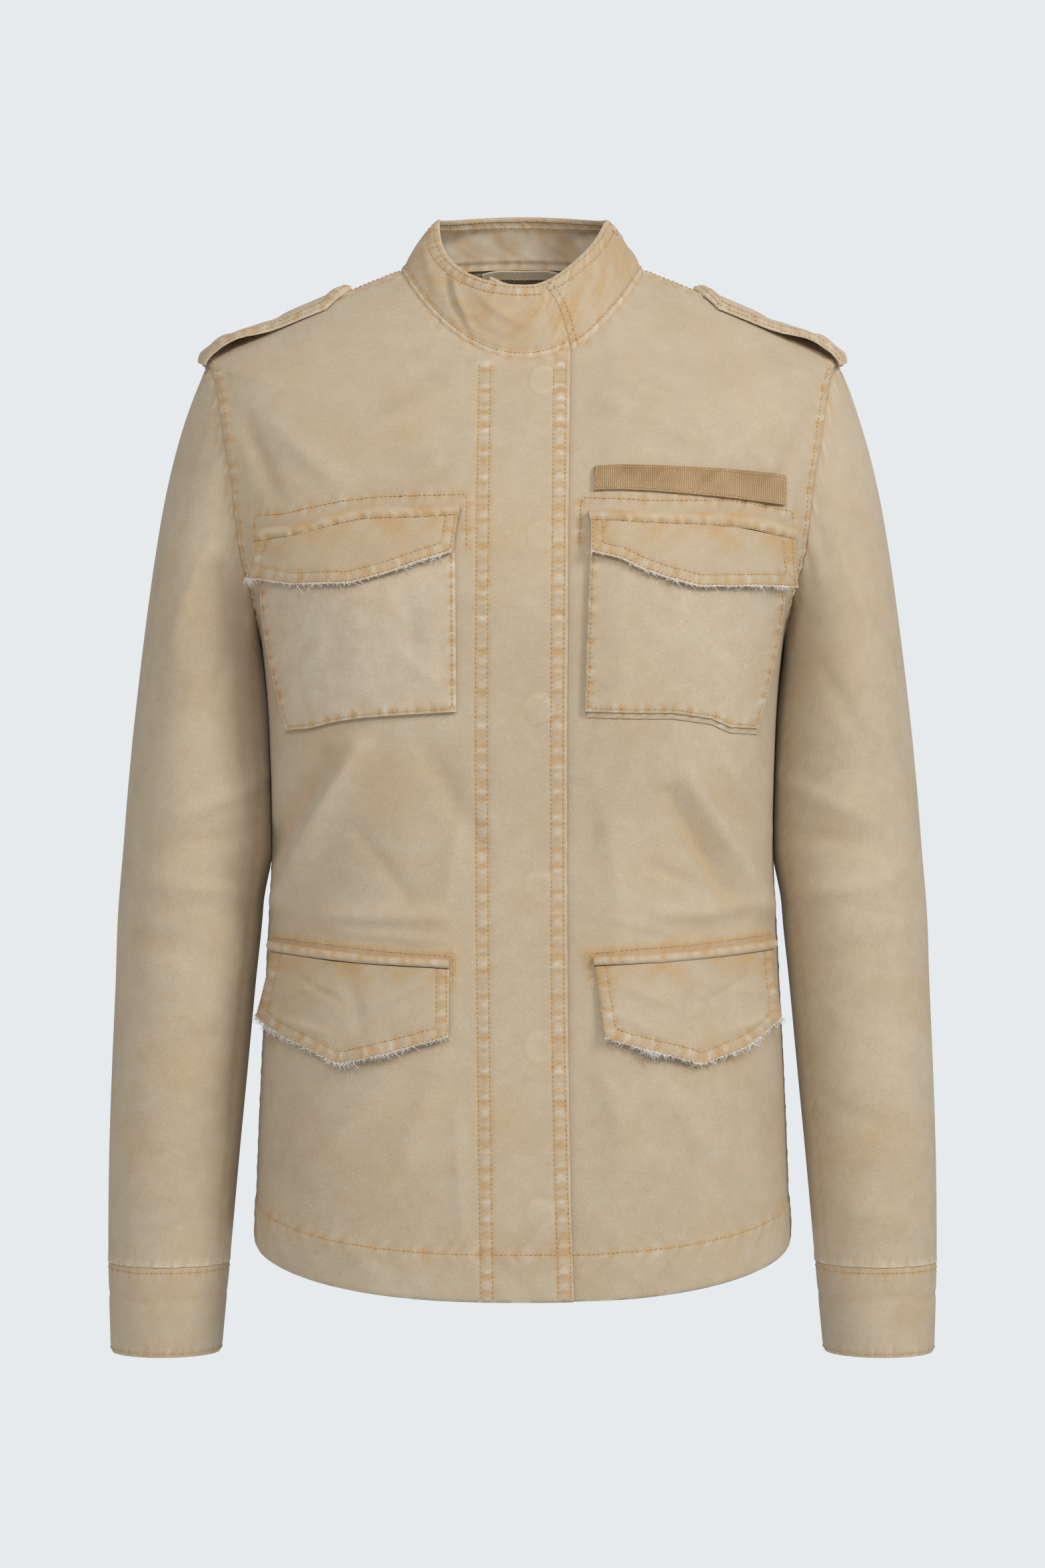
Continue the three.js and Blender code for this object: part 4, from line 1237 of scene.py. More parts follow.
    def build(self) -> None:
        """Make the sleeve and its cuff, and sew them."""
        word = self.side.word
        points, around, height = self.grid()
        normals = grid_normals(points, True)
        middle = points.mean(axis=1, keepdims=True)
        away = np.sum(normals * (points - middle), axis=-1, keepdims=True) < 0.0
        normals = np.where(away, -normals, normals)
        relief = Relief.level(points.shape[:2])
        chart = np.stack([around, height], axis=-1)
        row = np.arange(len(points))[:, None]
        fade = self.slack * np.clip(np.minimum(row / 40.0, (len(points) - 1 - row) / 12.0), 0.0, 1.0)
        for fold in self.folds:
            relief.fold(chart, fold, fade)
        near = np.concatenate([np.zeros((1, self.around)), np.cumsum(
            np.linalg.norm(np.diff(points, axis=0), axis=-1), axis=0)])
        relief.pucker(around, np.abs(near - 3.0), 3.0 + self.side.value, 6.0, 0.4, 9.5)
        gathers = ripple(around, 26.0, 5.0 + self.side.value) * bell(near - 12.0, 16.0)
        relief.rise += 0.7 * gathers
        relief.close(near, 0.0)
        relief.rise -= 0.5 * bell(near, 1.2)
        last = near[-1][None, :] - near
        relief.pucker(around, last, 6.0 + self.side.value, 5.0, 0.30, 9.0)
        relief.rise += 0.5 * bell(last - 1.4, 1.2)
        relief.pale += 0.9 * bell(last - 1.0, 1.6)
        for place, seed in ((0.085, 1.0), (0.93, 2.0)):
            gap = np.abs(around / SLEEVE_AROUND - place) * SLEEVE_AROUND
            along = near + 11.0 * seed
            relief.rise -= 0.8 * bell(gap, 1.8) * smooth(near, 0.0, 12.0)
            relief.rust += 0.30 * bell(gap, 1.8)
            relief.pucker(along, gap, seed, 5.0, 0.14, 10.0)
        sign = self.side.value
        cloth_chart = np.stack([sign * around, -near.mean(axis=1, keepdims=True) + 0.0 * near], axis=-1)
        cloth = Cloth(points, normals, cloth_chart, relief, closed=True)
        cloth.wall(f"sleeve_{word}_cloth", CLOTH, [f"sleeve_{word}"])
        self.cuff(word)

    def cuff(self, word: str) -> None:
        """The cuff: a doubled band with a thick roped seam above and a worn edge below.

        Args:
            word: The sleeve's side, as it stands in a name.
        """
        share = np.arange(self.around) / self.around
        heights = np.linspace(CUFF_SEAM, CUFF_END, 30)
        points = self.ring(share[None, :], heights[:, None] * np.ones_like(share)[None, :])
        normals = unit(points - points.mean(axis=1, keepdims=True))
        relief = Relief.level(points.shape[:2])
        around = np.broadcast_to(share * SLEEVE_AROUND, points.shape[:2])
        down = np.broadcast_to((CUFF_SEAM - heights)[:, None], points.shape[:2])
        seed = 2.0 + self.side.value
        relief.rise -= 0.6 * bell(down, 1.0)
        relief.rust += 0.12 * bell(down, 1.2)
        relief.stitched(around, np.abs(down - 3.4), seed, 0.3)
        relief.pucker(around, np.abs(down - 3.4), seed, 4.5, 0.24, 8.0)
        relief.worn(around, down, seed, 26.0, 0.24)
        crease = bell(down - 20.0 - 2.5 * ripple(around, 90.0, seed), 2.2)
        relief.rise -= 0.5 * crease
        relief.rust += 0.18 * crease
        relief.stitched(around, np.abs(down - 53.4), seed + 1.0, 0.3)
        relief.pucker(around, np.abs(down - 53.0), seed + 2.0, 3.5, 0.25, 9.0)
        relief.edge(56.0 - down, 2.4, around, seed)
        sign = self.side.value
        chart = np.stack([sign * around, -down], axis=-1)
        cloth = Cloth(points, normals, chart, relief, closed=True)
        cloth.wall(f"cuff_{word}_cloth", 2.2, [f"cuff_{word}"])
        loop = np.linspace(0.0, 1.0, 200)
        for drop in (3.4, 53.4):
            self.sewing.row(cloth, Line(self.ring(loop, np.full_like(loop, CUFF_SEAM - drop))))


@dataclass
class Collar:
    """The stand collar: one doubled band, lapped at the front."""

    sewing: Stitching
    half_width: float = 54.0
    depths: tuple[float, float] = (58.0, 42.0)
    heights: tuple[float, float, float] = (33.0, -15.0, 40.0)
    climbs: tuple[float, float, float] = (0.8, 1.6, 1.7)
    bulge: float = 2.0
    drop: float = 4.3
    cloth: float = 2.4
    rows: int = 34
    folds: Table = (
        (22, 20, 60, 34, 6, 1.0), (66, 12, 96, 40, 5, 1.2), (70, 8, 104, 30, 4, -0.8),
        (40, 12, 84, 16, 5, -0.5), (8, 34, 34, 14, 3, 0.9), (16, 38, 46, 20, 3, -0.7),
        (104, 18, 150, 26, 9, 1.0), (180, 14, 240, 24, 10, 1.1), (300, 18, 340, 30, 7, 1.1),
        (350, 12, 386, 30, 7, -0.9), (372, 26, 404, 22, 6, 0.9))

    def top(self, bearing: Grid, climb: Grid) -> Grid:
        """The top edge: an ellipse whose height follows the share of the depth to a power.

        Args:
            bearing: The turn from the front.
            climb: The power.

        Returns:
            The edge's places.
        """
        ahead = np.cos(bearing) >= 0.0
        depth = np.where(ahead, self.depths[0], self.depths[1])
        centre = np.where(ahead, self.heights[1], self.heights[2])
        reach = 1.0 / np.hypot(np.sin(bearing) / self.half_width, np.cos(bearing) / depth)
        y = -reach * np.cos(bearing)
        share = (np.abs(y) / depth) ** climb
        height = self.heights[0] + (centre - self.heights[0]) * share
        return np.stack([reach * np.sin(bearing), y, height], axis=-1)

    def shape(self) -> tuple[Grid, Grid, Grid]:
        """The band from end to end: straight up from the neck seam, bowed by half a sine.

        Returns:
            Its places, their normals, and how tall it is there.
        """
        quarter = float(BODY.seam_bearing(np.array(NECK), False))
        start = float(BODY.bearing_across(29.0, np.array(NECK)))
        finish = float(BODY.bearing_across(LEFT_EDGE, np.array(NECK)))
        run = spread((start, -quarter, 62), (-quarter, quarter - 2.0 * np.pi, 104),
                     (quarter - 2.0 * np.pi, finish - 2.0 * np.pi, 56))
        climb = np.linspace(0.0, 1.0, self.rows + 1)[:, None]
        cut = 9.0 * climb**1.3 + 8.0 * climb**8
        share = np.clip((run + quarter) / (start + quarter), 0.0, 1.0)[None, :]
        swing = start - BODY.bearing_across(29.0 - cut, 0.0 * cut)
        bearing = run[None, :] - swing * share
        under = (run < quarter - 2.0 * np.pi)[None, :] | np.zeros_like(bearing, bool)
        low = BODY.point(bearing, 0.0 * bearing)
        power = np.where(under, self.climbs[1], self.climbs[0])
        power = np.where(np.cos(bearing) < 0.0, self.climbs[2], power)
        high = self.top(bearing, power)
        level = np.stack([np.sin(bearing), -np.cos(bearing), 0.0 * bearing], axis=-1)
        sunk = np.where(under, -self.drop * lapped(low[..., 0]), 0.0)
        out = sunk * climb + self.bulge * np.sin(np.pi * climb)
        low = low + BODY.normal(bearing, 0.0 * bearing) * sunk[..., None]
        points = low + (high - low) * climb[..., None] + level * out[..., None]
        points[0] += 1.3 * unit(points[0] - points[1])
        return points, unit(level + np.array([0.0, 0.0, 0.3])), np.linalg.norm(high - low, axis=-1)

    def build(self) -> None:
        """Make the band with its folds, worn edges and rows of stitches."""
        points, normals, tall = self.shape()
        relief = Relief.level(tall.shape)
        along = np.broadcast_to(Line(points[0]).along, tall.shape)
        rise = tall * np.linspace(0.0, 1.0, self.rows + 1)[:, None]
        end = Line(points[:, 0]).measure(points)[1]
        rim = np.minimum(tall - rise, end)
        relief.edge(rim, 2.2, along + rise, 1.0)
        relief.stitched(along, np.abs(rim - 1.8), 1.0)
        relief.stitched(along, np.abs(rim - 7.4), 2.0)
        relief.pucker(along + rise, np.abs(rim - 4.6), 3.0, 4.5, 0.45, 8.0)
        relief.stitched(along, np.abs(rise - 5.2), 4.0)
        relief.rise += 0.7 * bell(rise - 1.8, 1.6) - 0.3 * bell(rise, 1.0)
        relief.rust += 0.4 * bell(rise, 1.2)
        relief.pale += 0.6 * bell(rise - 2.0, 1.6)
        relief.pucker(along, np.abs(rise - 3.0), 5.0, 4.0, 0.35, 9.0)
        relief.worn(along + rise, np.abs(rise - 0.5 * tall), 3.0, 18.0, 0.85)
        for fold in self.folds:
            relief.fold(np.stack([along, rise], axis=-1), fold, smooth(rim, 3.0, 12.0))
        chart = np.stack([900.0 - along, rise], axis=-1)
        cloth = Cloth(points, normals, chart, relief)
        # The collar's inner face is painted fully pale: painted light inside the shaded neck.
        cloth.wall("collar_cloth", self.cloth, ["collar"], painted_inner_light=1.0)
        self.sew(cloth, points)

    def sew(self, cloth: Cloth, points: Grid) -> None:
        """Sew two rows along the top and the lapped end, and one above the neck seam.

        Args:
            cloth: The collar.
            points: Its smooth points.
        """
        for amount in (1.8, 7.4):
            inner = inset(Line(points[-1]), cloth, -amount)
            side = inset(Line(points[:, 0]), cloth, amount)
            for line in (inner, side):
                self.sewing.row(cloth, line)
        self.sewing.row(cloth, inset(Line(points[0]), cloth, 5.2))
        back = points[-1, 63:165]
        inner_face = Cloth(cloth.settled - cloth.normals * self.cloth, -cloth.normals, cloth.chart,
                           Relief.level(points.shape[:2]))
        for amount in (1.8, 7.4):
            drop = Line(back - np.array([0.0, 0.0, amount]))
            self.sewing.row(inner_face, drop)


@dataclass
class Laid:
    """A flat piece sewn to the front: stations across it, each with its upper and lower end."""

    name: str
    stations: Table | Grid
    out: float
    thickness: float
    sewing: Stitching
    lift: float = 0.0
    under: bool = False
    bow: float = 0.0
    grain: float = 1.3
    borders: tuple[float, ...] = (1.6, 7.0)
    sides: str = "LBR"
    rims: str = "LBR"
    flutter: float = 0.0
    folds: Table | Grid = ()
    loose: float = 0.35
    shelter: float = 13.0
    # roll: how far the piece bows out across its height; a rolled piece also gets a painted highlight along
    # its middle.
    roll: float = 0.0
    # paler: an even lift in paleness, painted light for a piece that sits in shade.
    paler: float = 0.0

    def grid(self) -> tuple[Grid, Grid]:
        """The piece's shares across and down, about one grain of cloth apart.

        Returns:
            The shares across and the shares down.
        """
        table = np.asarray(self.stations)
        wide = Line(table[:, :2]).length
        tall = float(np.linalg.norm(table[:, :2] - table[:, 2:], axis=1).mean())
        across = np.linspace(0.0, 1.0, max(int(wide / self.grain), 8) + 1)
        down = np.linspace(0.0, 1.0, max(int(tall / self.grain), 5) + 1)
        return np.meshgrid(across, down)

    def chart(self, across: Grid, down: Grid) -> Grid:
        """The place across and height at some shares: a straight line down each station.

        Args:
            across: The share from the first station to the last.
            down: The share from the upper end to the lower.

        Returns:
            The places as seen from the front.
        """
        table = np.asarray(self.stations)
        middle = Line(0.5 * (table[:, :2] + table[:, 2:]))
        stops = middle.along / middle.length
        top = np.stack([np.interp(across, stops, table[:, k]) for k in (0, 1)], axis=-1)
        low = np.stack([np.interp(across, stops, table[:, k]) for k in (2, 3)], axis=-1)
        place = top + (low - top) * down[..., None]
        place[..., 0] += self.bow * np.sin(np.pi * down**0.8) * np.where(
            self.bow < 0.0, (1.0 - across) ** 3, across**3)
        return place

    def outline(self, amount: float, sides: str) -> Line:
        """The piece's outline set in by an amount, as a chart line, mitred at its corners.

        Args:
            amount: How far in.
            sides: Which of left, bottom, right and top it takes, as letters in order.

        Returns:
            The line, in places as seen from the front.
        """
        steps = np.linspace(0.0, 1.0, 40)
        back = 1.0 - steps
        zero, one = np.zeros(40), np.ones(40)
        runs = {"L": (zero, steps), "B": (steps, one), "R": (one, back), "T": (back, zero)}
        parts = [self.chart(*runs[letter]) for letter in sides]
        lines = []
        for part in parts:
            way = unit(np.gradient(part, axis=0))
            lines.append(part + amount * np.stack([-way[:, 1], way[:, 0]], axis=-1))
        joined = lines[0]
        for line in lines[1:]:
            gaps = np.linalg.norm(joined[:, None] - line[None], axis=-1)
            i, j = np.unravel_index(int(np.argmin(gaps)), gaps.shape)
            joined = np.concatenate([joined[: i + 1], line[j:]])
        return Line(joined)

    def space(self, chart: Grid, out: float) -> tuple[Grid, Grid]:
        """Body places for a chart, moved out by an amount and by the lap beneath.

        Args:
            chart: The places as seen from the front.
            out: How far out they move.

        Returns:
            The places and their normals.
        """
        bearing, level = BODY.on_front(chart)
        points = BODY.point(bearing, level)
        normals = BODY.normal(bearing, level)
        lap = np.where(self.under, -LAP_DROP * lapped(points[..., 0]), 0.0)
        return points + normals * (out + lap)[..., None], normals

    def build(self, replaces: Sequence[str]) -> Cloth:
        """Make the piece: lay it, round its edges, gather its borders and sew them.

        Args:
            replaces: The CAD nodes that it stands for.

        Returns:
            Its cloth, for what lies on it.
        """
        across, down = self.grid()
        chart = self.chart(across, down)
        points, normals = self.space(chart, self.out + self.thickness + self.lift * down * down)
        relief = Relief.level(across.shape)
        seed = 0.37 * sum(map(ord, self.name)) % 7.0
        along, near = self.outline(0.0, self.rims).measure(chart)
        relief.edge(near, 1.8, along, seed)
        along, near = self.outline(0.0, self.sides).measure(chart)
        for border in self.borders:
            relief.stitched(along, np.abs(near - border), seed + border, 0.36)
        width = 3.6 if len(self.borders) > 1 else 2.6
        middle = float(np.mean(self.borders)) if self.borders else 2.0
        relief.pucker(along, np.abs(near - middle), seed, width, self.loose, 8.0)
        top_along, top = self.outline(0.0, "T").measure(chart)
        relief.worn(top_along, top, seed, self.shelter, 0.95)
        relief.worn(along, near, seed + 2.0, 12.0, 0.36)
        low_along, low = self.outline(0.0, "B").measure(chart)
        relief.rise += self.flutter * ripple(low_along, 46.0, seed) * bell(low, 12.0)
        relief.pale += np.sign(self.flutter) * 0.9 * bell(low, 1.5)
        relief.rise += self.roll * np.sin(np.pi * down)
        # Painted light: the whole piece is painted paler to lift its shade.
        relief.pale += self.paler
        # Painted highlight along the middle of a rolled piece's rounded face.
        relief.pale += 0.4 * np.sign(self.roll) * bell(down - 0.45, 0.3)
        for fold in self.folds:
            relief.fold(chart, fold)
        cloth = Cloth(points, normals, chart + np.array([1300.0 + 40.0 * seed, 800.0]), relief)
        cloth.wall(self.name, self.thickness + 0.5, replaces)
        for border in self.borders:
            line, _ = self.space(self.outline(border, self.sides).spaced(2.0), self.out + self.thickness)
            self.sewing.row(cloth, Line(line))
        return cloth


@dataclass
class Frays:
    """Worn yarns that stand out from the flaps' lower edges, gathered up as one piece."""

    name: str = "flap_frays"
    radius: float = 0.17
    runs: list[Grid] = field(default_factory=list)

    def along(self, edge: Grid, out: Grid, face: Grid, density: float, seed: int) -> None:
        """Grow yarns along an edge: each bends down from the edge, a length and lean of its own.

        Args:
            edge: The edge's places, close together.
            out: The way out of the edge.
            face: The cloth's normal there.
            density: How many yarns a millimetre of edge, at its most worn.
            seed: Starts the random lengths and leans.
        """
        random = np.random.default_rng(seed)
        line = Line(edge)
        count = int(line.length * density)
        place = random.uniform(0.0, line.length, count)
        worn = 0.5 + 0.5 * ripple(place, 31.0, seed * 0.7)
        keep = random.uniform(0.0, 1.0, count) < 0.12 + 0.88 * worn**2
        place, worn = place[keep], worn[keep]
        root = line.at(place)
        side = np.cross(out, face)
        size = (0.7 + 3.6 * random.random(len(place)) ** 2.2 * (0.4 + worn))[:, None]
        lean = random.normal(0.0, 0.75, len(place))[:, None]
        up = random.normal(0.0, 0.30, len(place))[:, None]
        curl = random.normal(0.0, 0.6, len(place))[:, None]
        steps = np.linspace(0.0, 1.0, 4)[:, None, None]
        spine = (
            root - 0.7 * out
            + steps * size * (out + lean * side + (0.25 + up) * face)
            + steps**2 * size * curl * (side - 0.4 * out)
        )
        self.runs.append(np.swapaxes(spine, 0, 1))

    def make(self) -> Piece:
        """Carry a three-sided ring along each yarn, thin at its tip.

        Returns:
            The yarns as one object.
        """
        spine = np.concatenate(self.runs)
        way = unit(np.gradient(spine, axis=1))
        side = unit(np.cross(way, np.array([0.31, -0.9, 0.3])))
        other = np.cross(way, side)
        sides = 3
        radii = self.radius * np.array([1.2, 1.0, 0.8, 0.35])
        places, triangles = tubes(spine, radii, side, other, sides)
        made = make_mesh(self.name, places, triangles, np.zeros((len(triangles), sides, 2)))
        tone = np.repeat(0.5 + 0.5 * ripple(np.arange(len(spine)), 5.1, 2.0), len(radii) * sides)
        tint(made, rust=0.3 * tone, pale=1.0 - 0.6 * tone)
        return made


@dataclass
class Strap:
    """A shoulder strap: sewn in at the shoulder tip and pointed towards the collar."""

    side: Side
    sewing: Stitching
    tip: float = 107.0
    corner: float = 122.0
    outer: float = 197.0
    half_width: float = 21.0
    lift: float = 3.4
    gape: float = 4.0
    arch: float = 3.4
    cloth: float = 2.0

    def under(self, x: Grid, y: Grid) -> tuple[Grid, Grid]:
        """The bearing and level of the shoulder under places seen from above, by halving.

        Args:
            x: How far across the places are.
            y: How far back they are.

        Returns:
            The bearing and level.
        """
        bearing = np.arctan2(x, -y)
        reach = np.hypot(x, y)
        low = np.full_like(x, SHOULDER_TIP)
        high = np.full_like(x, NECK)
        for _ in range(24):
            level = 0.5 * (low + high)
            point = BODY.point(bearing, level)
            wide = np.hypot(point[..., 0], point[..., 1]) > reach
            low = np.where(wide, level, low)
            high = np.where(wide, high, level)
        return bearing, low

    def build(self) -> None:
        """Make the strap with its rounded edges and sew two rows round it."""
        run = spread((self.outer, self.corner, 52), (self.corner, self.tip, 16))[:, None]
        share = np.linspace(-1.0, 1.0, 31)[None, :]
        point_share = np.clip((run - self.tip) / (self.corner - self.tip), 0.0, 1.0)
        half = 1.5 + (self.half_width - 1.5) * point_share**0.85
        y = half * share
        x = self.side.value * run + 0.0 * y
        bearing, level = self.under(x, y)
        length = self.outer - self.corner
        raised = self.lift * (np.maximum(run - self.corner, 0.0) / length) ** 1.5
        normals = BODY.normal(bearing, level)
        open_edge = self.gape * bell(run - 176.0, 15.0) * smooth(share, 0.3, -1.0)
        arch = self.arch * (1.0 - share**2) * (0.45 + 0.55 * np.sin(np.pi * point_share))
        clear = 0.8 + self.cloth + raised + arch + open_edge
        points = BODY.point(bearing, level) + normals * clear[..., None]
        flat = np.stack([run + 0.0 * y, y], axis=-1)
        wide = self.half_width
        edge = Line([(self.outer, -wide), (self.corner, -wide), (self.tip, -1.5), (self.tip, 1.5),
                     (self.corner, wide), (self.outer, wide)])
        relief = Relief.level(y.shape)
        along, near = edge.measure(flat)
        seed = 3.0 + self.side.value
        relief.edge(near, 2.0, along, seed)
        relief.stitched(along, np.abs(near - 1.8), seed)
        relief.stitched(along, np.abs(near - 7.0), seed + 1.0)
        relief.pucker(along, np.abs(near - 4.4), seed, 4.0, 0.42, 8.0)
        relief.fold(flat, (self.outer - 8, -12, self.outer - 20, 10, 6, 1.2))
        relief.fold(flat, (150, -14, 160, 14, 9, -0.8))
        chart = flat + np.array([2000.0, 0.0])
        cloth = Cloth(points, normals, chart, relief)
        word = self.side.word
        cloth.wall(f"shoulder_strap_{word}_cloth", self.cloth, [f"shoulder_strap_{word}"])
        for amount in (1.8, 7.0):
            tip = self.tip + amount * 1.1
            inner = wide - amount
            start, bend = self.outer - 1, self.corner + 0.4 * amount
            row = Line([(start, -inner), (bend, -inner), (tip, -0.6), (tip, 0.6), (bend, inner),
                        (start, inner)]).spaced(2.0)
            bearing, level = self.under(self.side.value * row[:, 0], row[:, 1])
            self.sewing.row(cloth, Line(BODY.point(bearing, level) + 4.0 * BODY.normal(bearing, level)))


@dataclass
class Loop:
    """The hanger loop: a narrow strip, bowed inward, inside the back neck."""

    sewing: Stitching
    half_length: float = 25.0
    width: float = 7.0
    cloth: float = 1.6
    bow: float = 5.0
    rise: float = 4.0

    def build(self) -> None:
        """Make the strip from the body's own back, set in, and sew its lower edge."""
        across = np.linspace(-1.0, 1.0, 61)[None, :]
        level = (-2.0 - 0.55 * self.width * np.linspace(0.0, 1.0, 9))[:, None] + 0.0 * across
        depth = BODY.curve(4, level)
        bearing = np.pi - np.arcsin(across * self.half_length / depth)
        normals = BODY.normal(bearing, level)
        inward = CLOTH + 0.8 + self.bow * (1.0 - across**2) + 0.0 * level
        points = BODY.point(bearing, level) - normals * inward[..., None]
        points[..., 2] += self.rise * (1.0 - across**4)
        relief = Relief.level(level.shape)
        chart = np.stack([across * self.half_length + 0.0 * level, level * 1.8], axis=-1)
        rim = np.minimum(np.arange(9), 8 - np.arange(9))[:, None] * 0.9 + 0.0 * level
        relief.pale += 0.45 + 0.5 * bell(rim, 1.0)
        cloth = Cloth(points, normals, chart, relief)
        cloth.wall("hanger_loop_cloth", self.cloth, ["hanger_loop"])
        face = Cloth(points - normals * self.cloth, -normals, chart, Relief.level(level.shape))
        self.sewing.row(face, Line(face.points[7]))


@dataclass
class Pockets:
    """The chest and hip pockets with their bands, welts and flaps, and the name tape."""

    sewing: Stitching
    frays: Frays
    gap: float = 0.8
    pocket_cloth: float = 3.0
    meet: float = 0.4

    chest_patch: dict[Side, Table] = field(default_factory=lambda: {
        Side.RIGHT: (
            (-157, -177, -142.8, -290), (-139, -176, -128.5, -289), (-121, -174, -111.7, -285.1),
            (-103, -169, -95.3, -282.8), (-80, -168, -73.4, -281.3), (-40.5, -166, -39.6, -279.4)),
        Side.LEFT: (
            (41, -167, 37.6, -279.4), (70, -169, 67.3, -280.1), (95, -170, 90, -280),
            (124, -171, 113, -283.1), (138, -173, 124.7, -288.2), (157.5, -176, 141.9, -288.8))})
    chest_band: dict[Side, Table] = field(default_factory=lambda: {
        Side.RIGHT: (
            (-160.5, -167.8, -159.8, -175), (-139.3, -166.7, -139, -173.6),
            (-128, -165.2, -127, -172.4), (-115, -160.8, -114, -168.6), (-95.4, -157.1, -95, -165),
            (-62.7, -157.4, -63, -164.6), (-36.9, -155.9, -38.3, -163.2)),
        Side.LEFT: (
            (39.3, -158.4, 41, -165.2), (61.9, -159.7, 62, -166.8), (90.1, -160.2, 90, -168),
            (118.7, -159.8, 118.7, -168), (136.4, -160.6, 136.4, -169), (163.5, -166.6, 162.2, -173.6))})
    chest_flap: dict[Side, Table] = field(default_factory=lambda: {
        Side.RIGHT: (
            (-159.8, -175.4, -163.6, -194.6), (-139, -174, -136, -201.2), (-114, -169, -102, -202.6),
            (-95, -165.4, -79, -196.8), (-64, -165, -56.5, -189.2), (-38.5, -163.6, -41.7, -184.8)),
        Side.LEFT: (
            (41, -165.6, 41, -184), (58, -167, 58.5, -188.8), (72, -168, 67.5, -193.6),
            (90, -168.4, 84, -199.5), (110, -168.6, 103.7, -204.4), (128, -169.2, 124, -203.2),
            (162.2, -174, 163, -199.8))})
    welt: dict[Side, Table] = field(default_factory=lambda: {
        Side.RIGHT: (
            (-154.4, -420, -154.4, -426), (-121, -423.6, -121, -429.2),
            (-97, -426.2, -97, -431.4), (-44, -428.8, -44, -434)),
        Side.LEFT: (
            (43, -427.2, 43, -432.4), (83, -425.4, 83, -430.8), (112, -423, 112, -428.6),
            (153.4, -418.8, 153.4, -424.8))})
    hip_flap: dict[Side, Table] = field(default_factory=lambda: {
        Side.RIGHT: (
            (-154, -426.4, -161.5, -467.5), (-142, -427.6, -147, -475.5), (-130, -428.8, -131, -482.6),
            (-112, -430.8, -110.5, -492.6), (-94, -432, -92, -489), (-73, -433.2, -73, -483.5),
            (-44, -434.4, -44, -475.4)),
        Side.LEFT: (
            (43.2, -433, 49.3, -476.2), (62, -432, 65.3, -481.2), (80, -431, 82.7, -486),
            (104, -429.2, 106.6, -493), (114, -428.6, 114.2, -490.4), (135, -426.8, 135.2, -482.4),
            (154, -425.2, 155.6, -467.4))})
    tape: Table = (
        (43.4, -130, 43.1, -144.8), (80, -130.4, 80, -146.2), (120, -131.6, 120, -149),
        (160.4, -133.8, 160, -152.6))
    patch_folds: Table = (
        (-139, -262, -118, -238, 8, 0.9), (-52, -262, -70, -246, 8, 0.8),
        (-100, -215, -96, -262, 16, 0.9), (52, -262, 70, -246, 8, 0.8), (132, -264, 116, -244, 8, 0.9),
        (98, -216, 94, -262, 16, 0.9), (70, -205, 64, -250, 9, -0.7), (-70, -206, -64, -248, 9, -0.7))
    hip_folds: Table = (
        (148, -452, 122, -446, 5, 0.8), (150, -466, 118, -474, 5, 0.9), (60, -444, 92, -458, 6, 0.8),
        (104, -440, 96, -478, 8, -0.6), (136, -440, 108, -456, 4, -0.6), (56, -462, 84, -476, 5, 0.6))

    def build(self) -> None:
        """Make both sides' pockets and the tape."""
        for side in Side:
            self.side(side)
        tape = Laid("name_tape_webbing", self.tape, self.gap, 1.4, self.sewing, under=True, grain=1.2,
                    borders=(1.5,), sides="LBRT", rims="LBRT", loose=0.12)
        tape.build(["name_tape"])

    def side(self, side: Side) -> None:
        """Make one side's pockets, from the patch on the cloth out to the flap.

        Args:
            side: Which side.
        """
        word = side.word
        under = side is Side.LEFT
        bow = 6.5 * side.value
        chest_out = self.gap + self.pocket_cloth + self.gap
        stations = np.asarray(self.chest_patch[side])
        layer = stations.copy()
        layer[:, 2:] += np.array([1.2, -3.6]) if under else np.array([-2.6, -0.4])
        layer[:, :2] = layer[:, 2:] + (layer[:, :2] - layer[:, 2:]) * 0.62
        layer[:, 1] -= 2.0
        gusset = Laid(f"chest_gusset_{word}", layer, 0.1, 1.6, self.sewing, under=under, grain=2.2,
                      borders=(), loose=0.3)
        gusset.build([])
        # The patch's paler share is painted light, larger on the wearer's right patch, which turns away
        # from the key lamp.
        patch = Laid(f"chest_pocket_{word}_cloth", stations, self.gap, self.pocket_cloth, self.sewing,
                     under=under, bow=bow, grain=1.6, borders=(2.2,), folds=self.patch_folds, loose=0.5,
                     paler=0.27 - 0.10 * side.value)
        patch.build([f"chest_pocket_{word}"])
        hung = np.asarray(self.chest_flap[side]) + np.array([0.0, self.meet, 0.0, 0.0])
        flap = Laid(f"chest_flap_{word}_cloth", hung, chest_out, 2.0, self.sewing, lift=1.6,
                    under=under, grain=1.15, borders=(1.5, 7.0), rims="LBRT", flutter=0.5)
        band = Laid(f"chest_band_{word}_cloth", self.chest_band[side], self.gap, 5.2, self.sewing,
                    under=under, grain=1.0, borders=(1.1,), sides="B", rims="LBRT", loose=0.5, shelter=5.0,
                    roll=1.3)
        band.build([f"chest_band_{word}"])
        welt = Laid(f"hip_welt_{word}_cloth", self.welt[side], self.gap, 2.6, self.sewing, under=under,
                    grain=1.0, borders=(), sides="T", rims="LBRT", loose=0.3, shelter=2.0, roll=1.2)
        welt.build([f"hip_welt_{word}"])
        sign = side.value
        creases = np.asarray(self.hip_folds) * (sign, 1, sign, 1, 1, 1)
        hip = Laid(f"hip_flap_{word}_cloth", self.hip_flap[side], self.gap, 2.0, self.sewing, lift=3.4,
                   under=under, grain=1.2, borders=(1.5, 7.2), flutter=1.0, loose=0.45,
                   folds=creases)
        for piece, node, density in ((flap, "chest_flap", 5.0), (hip, "hip_flap", 11.0)):
            cloth = piece.build([f"{node}_{word}"])
            self.wear(cloth, density, 11 + 7 * side.value + len(node))

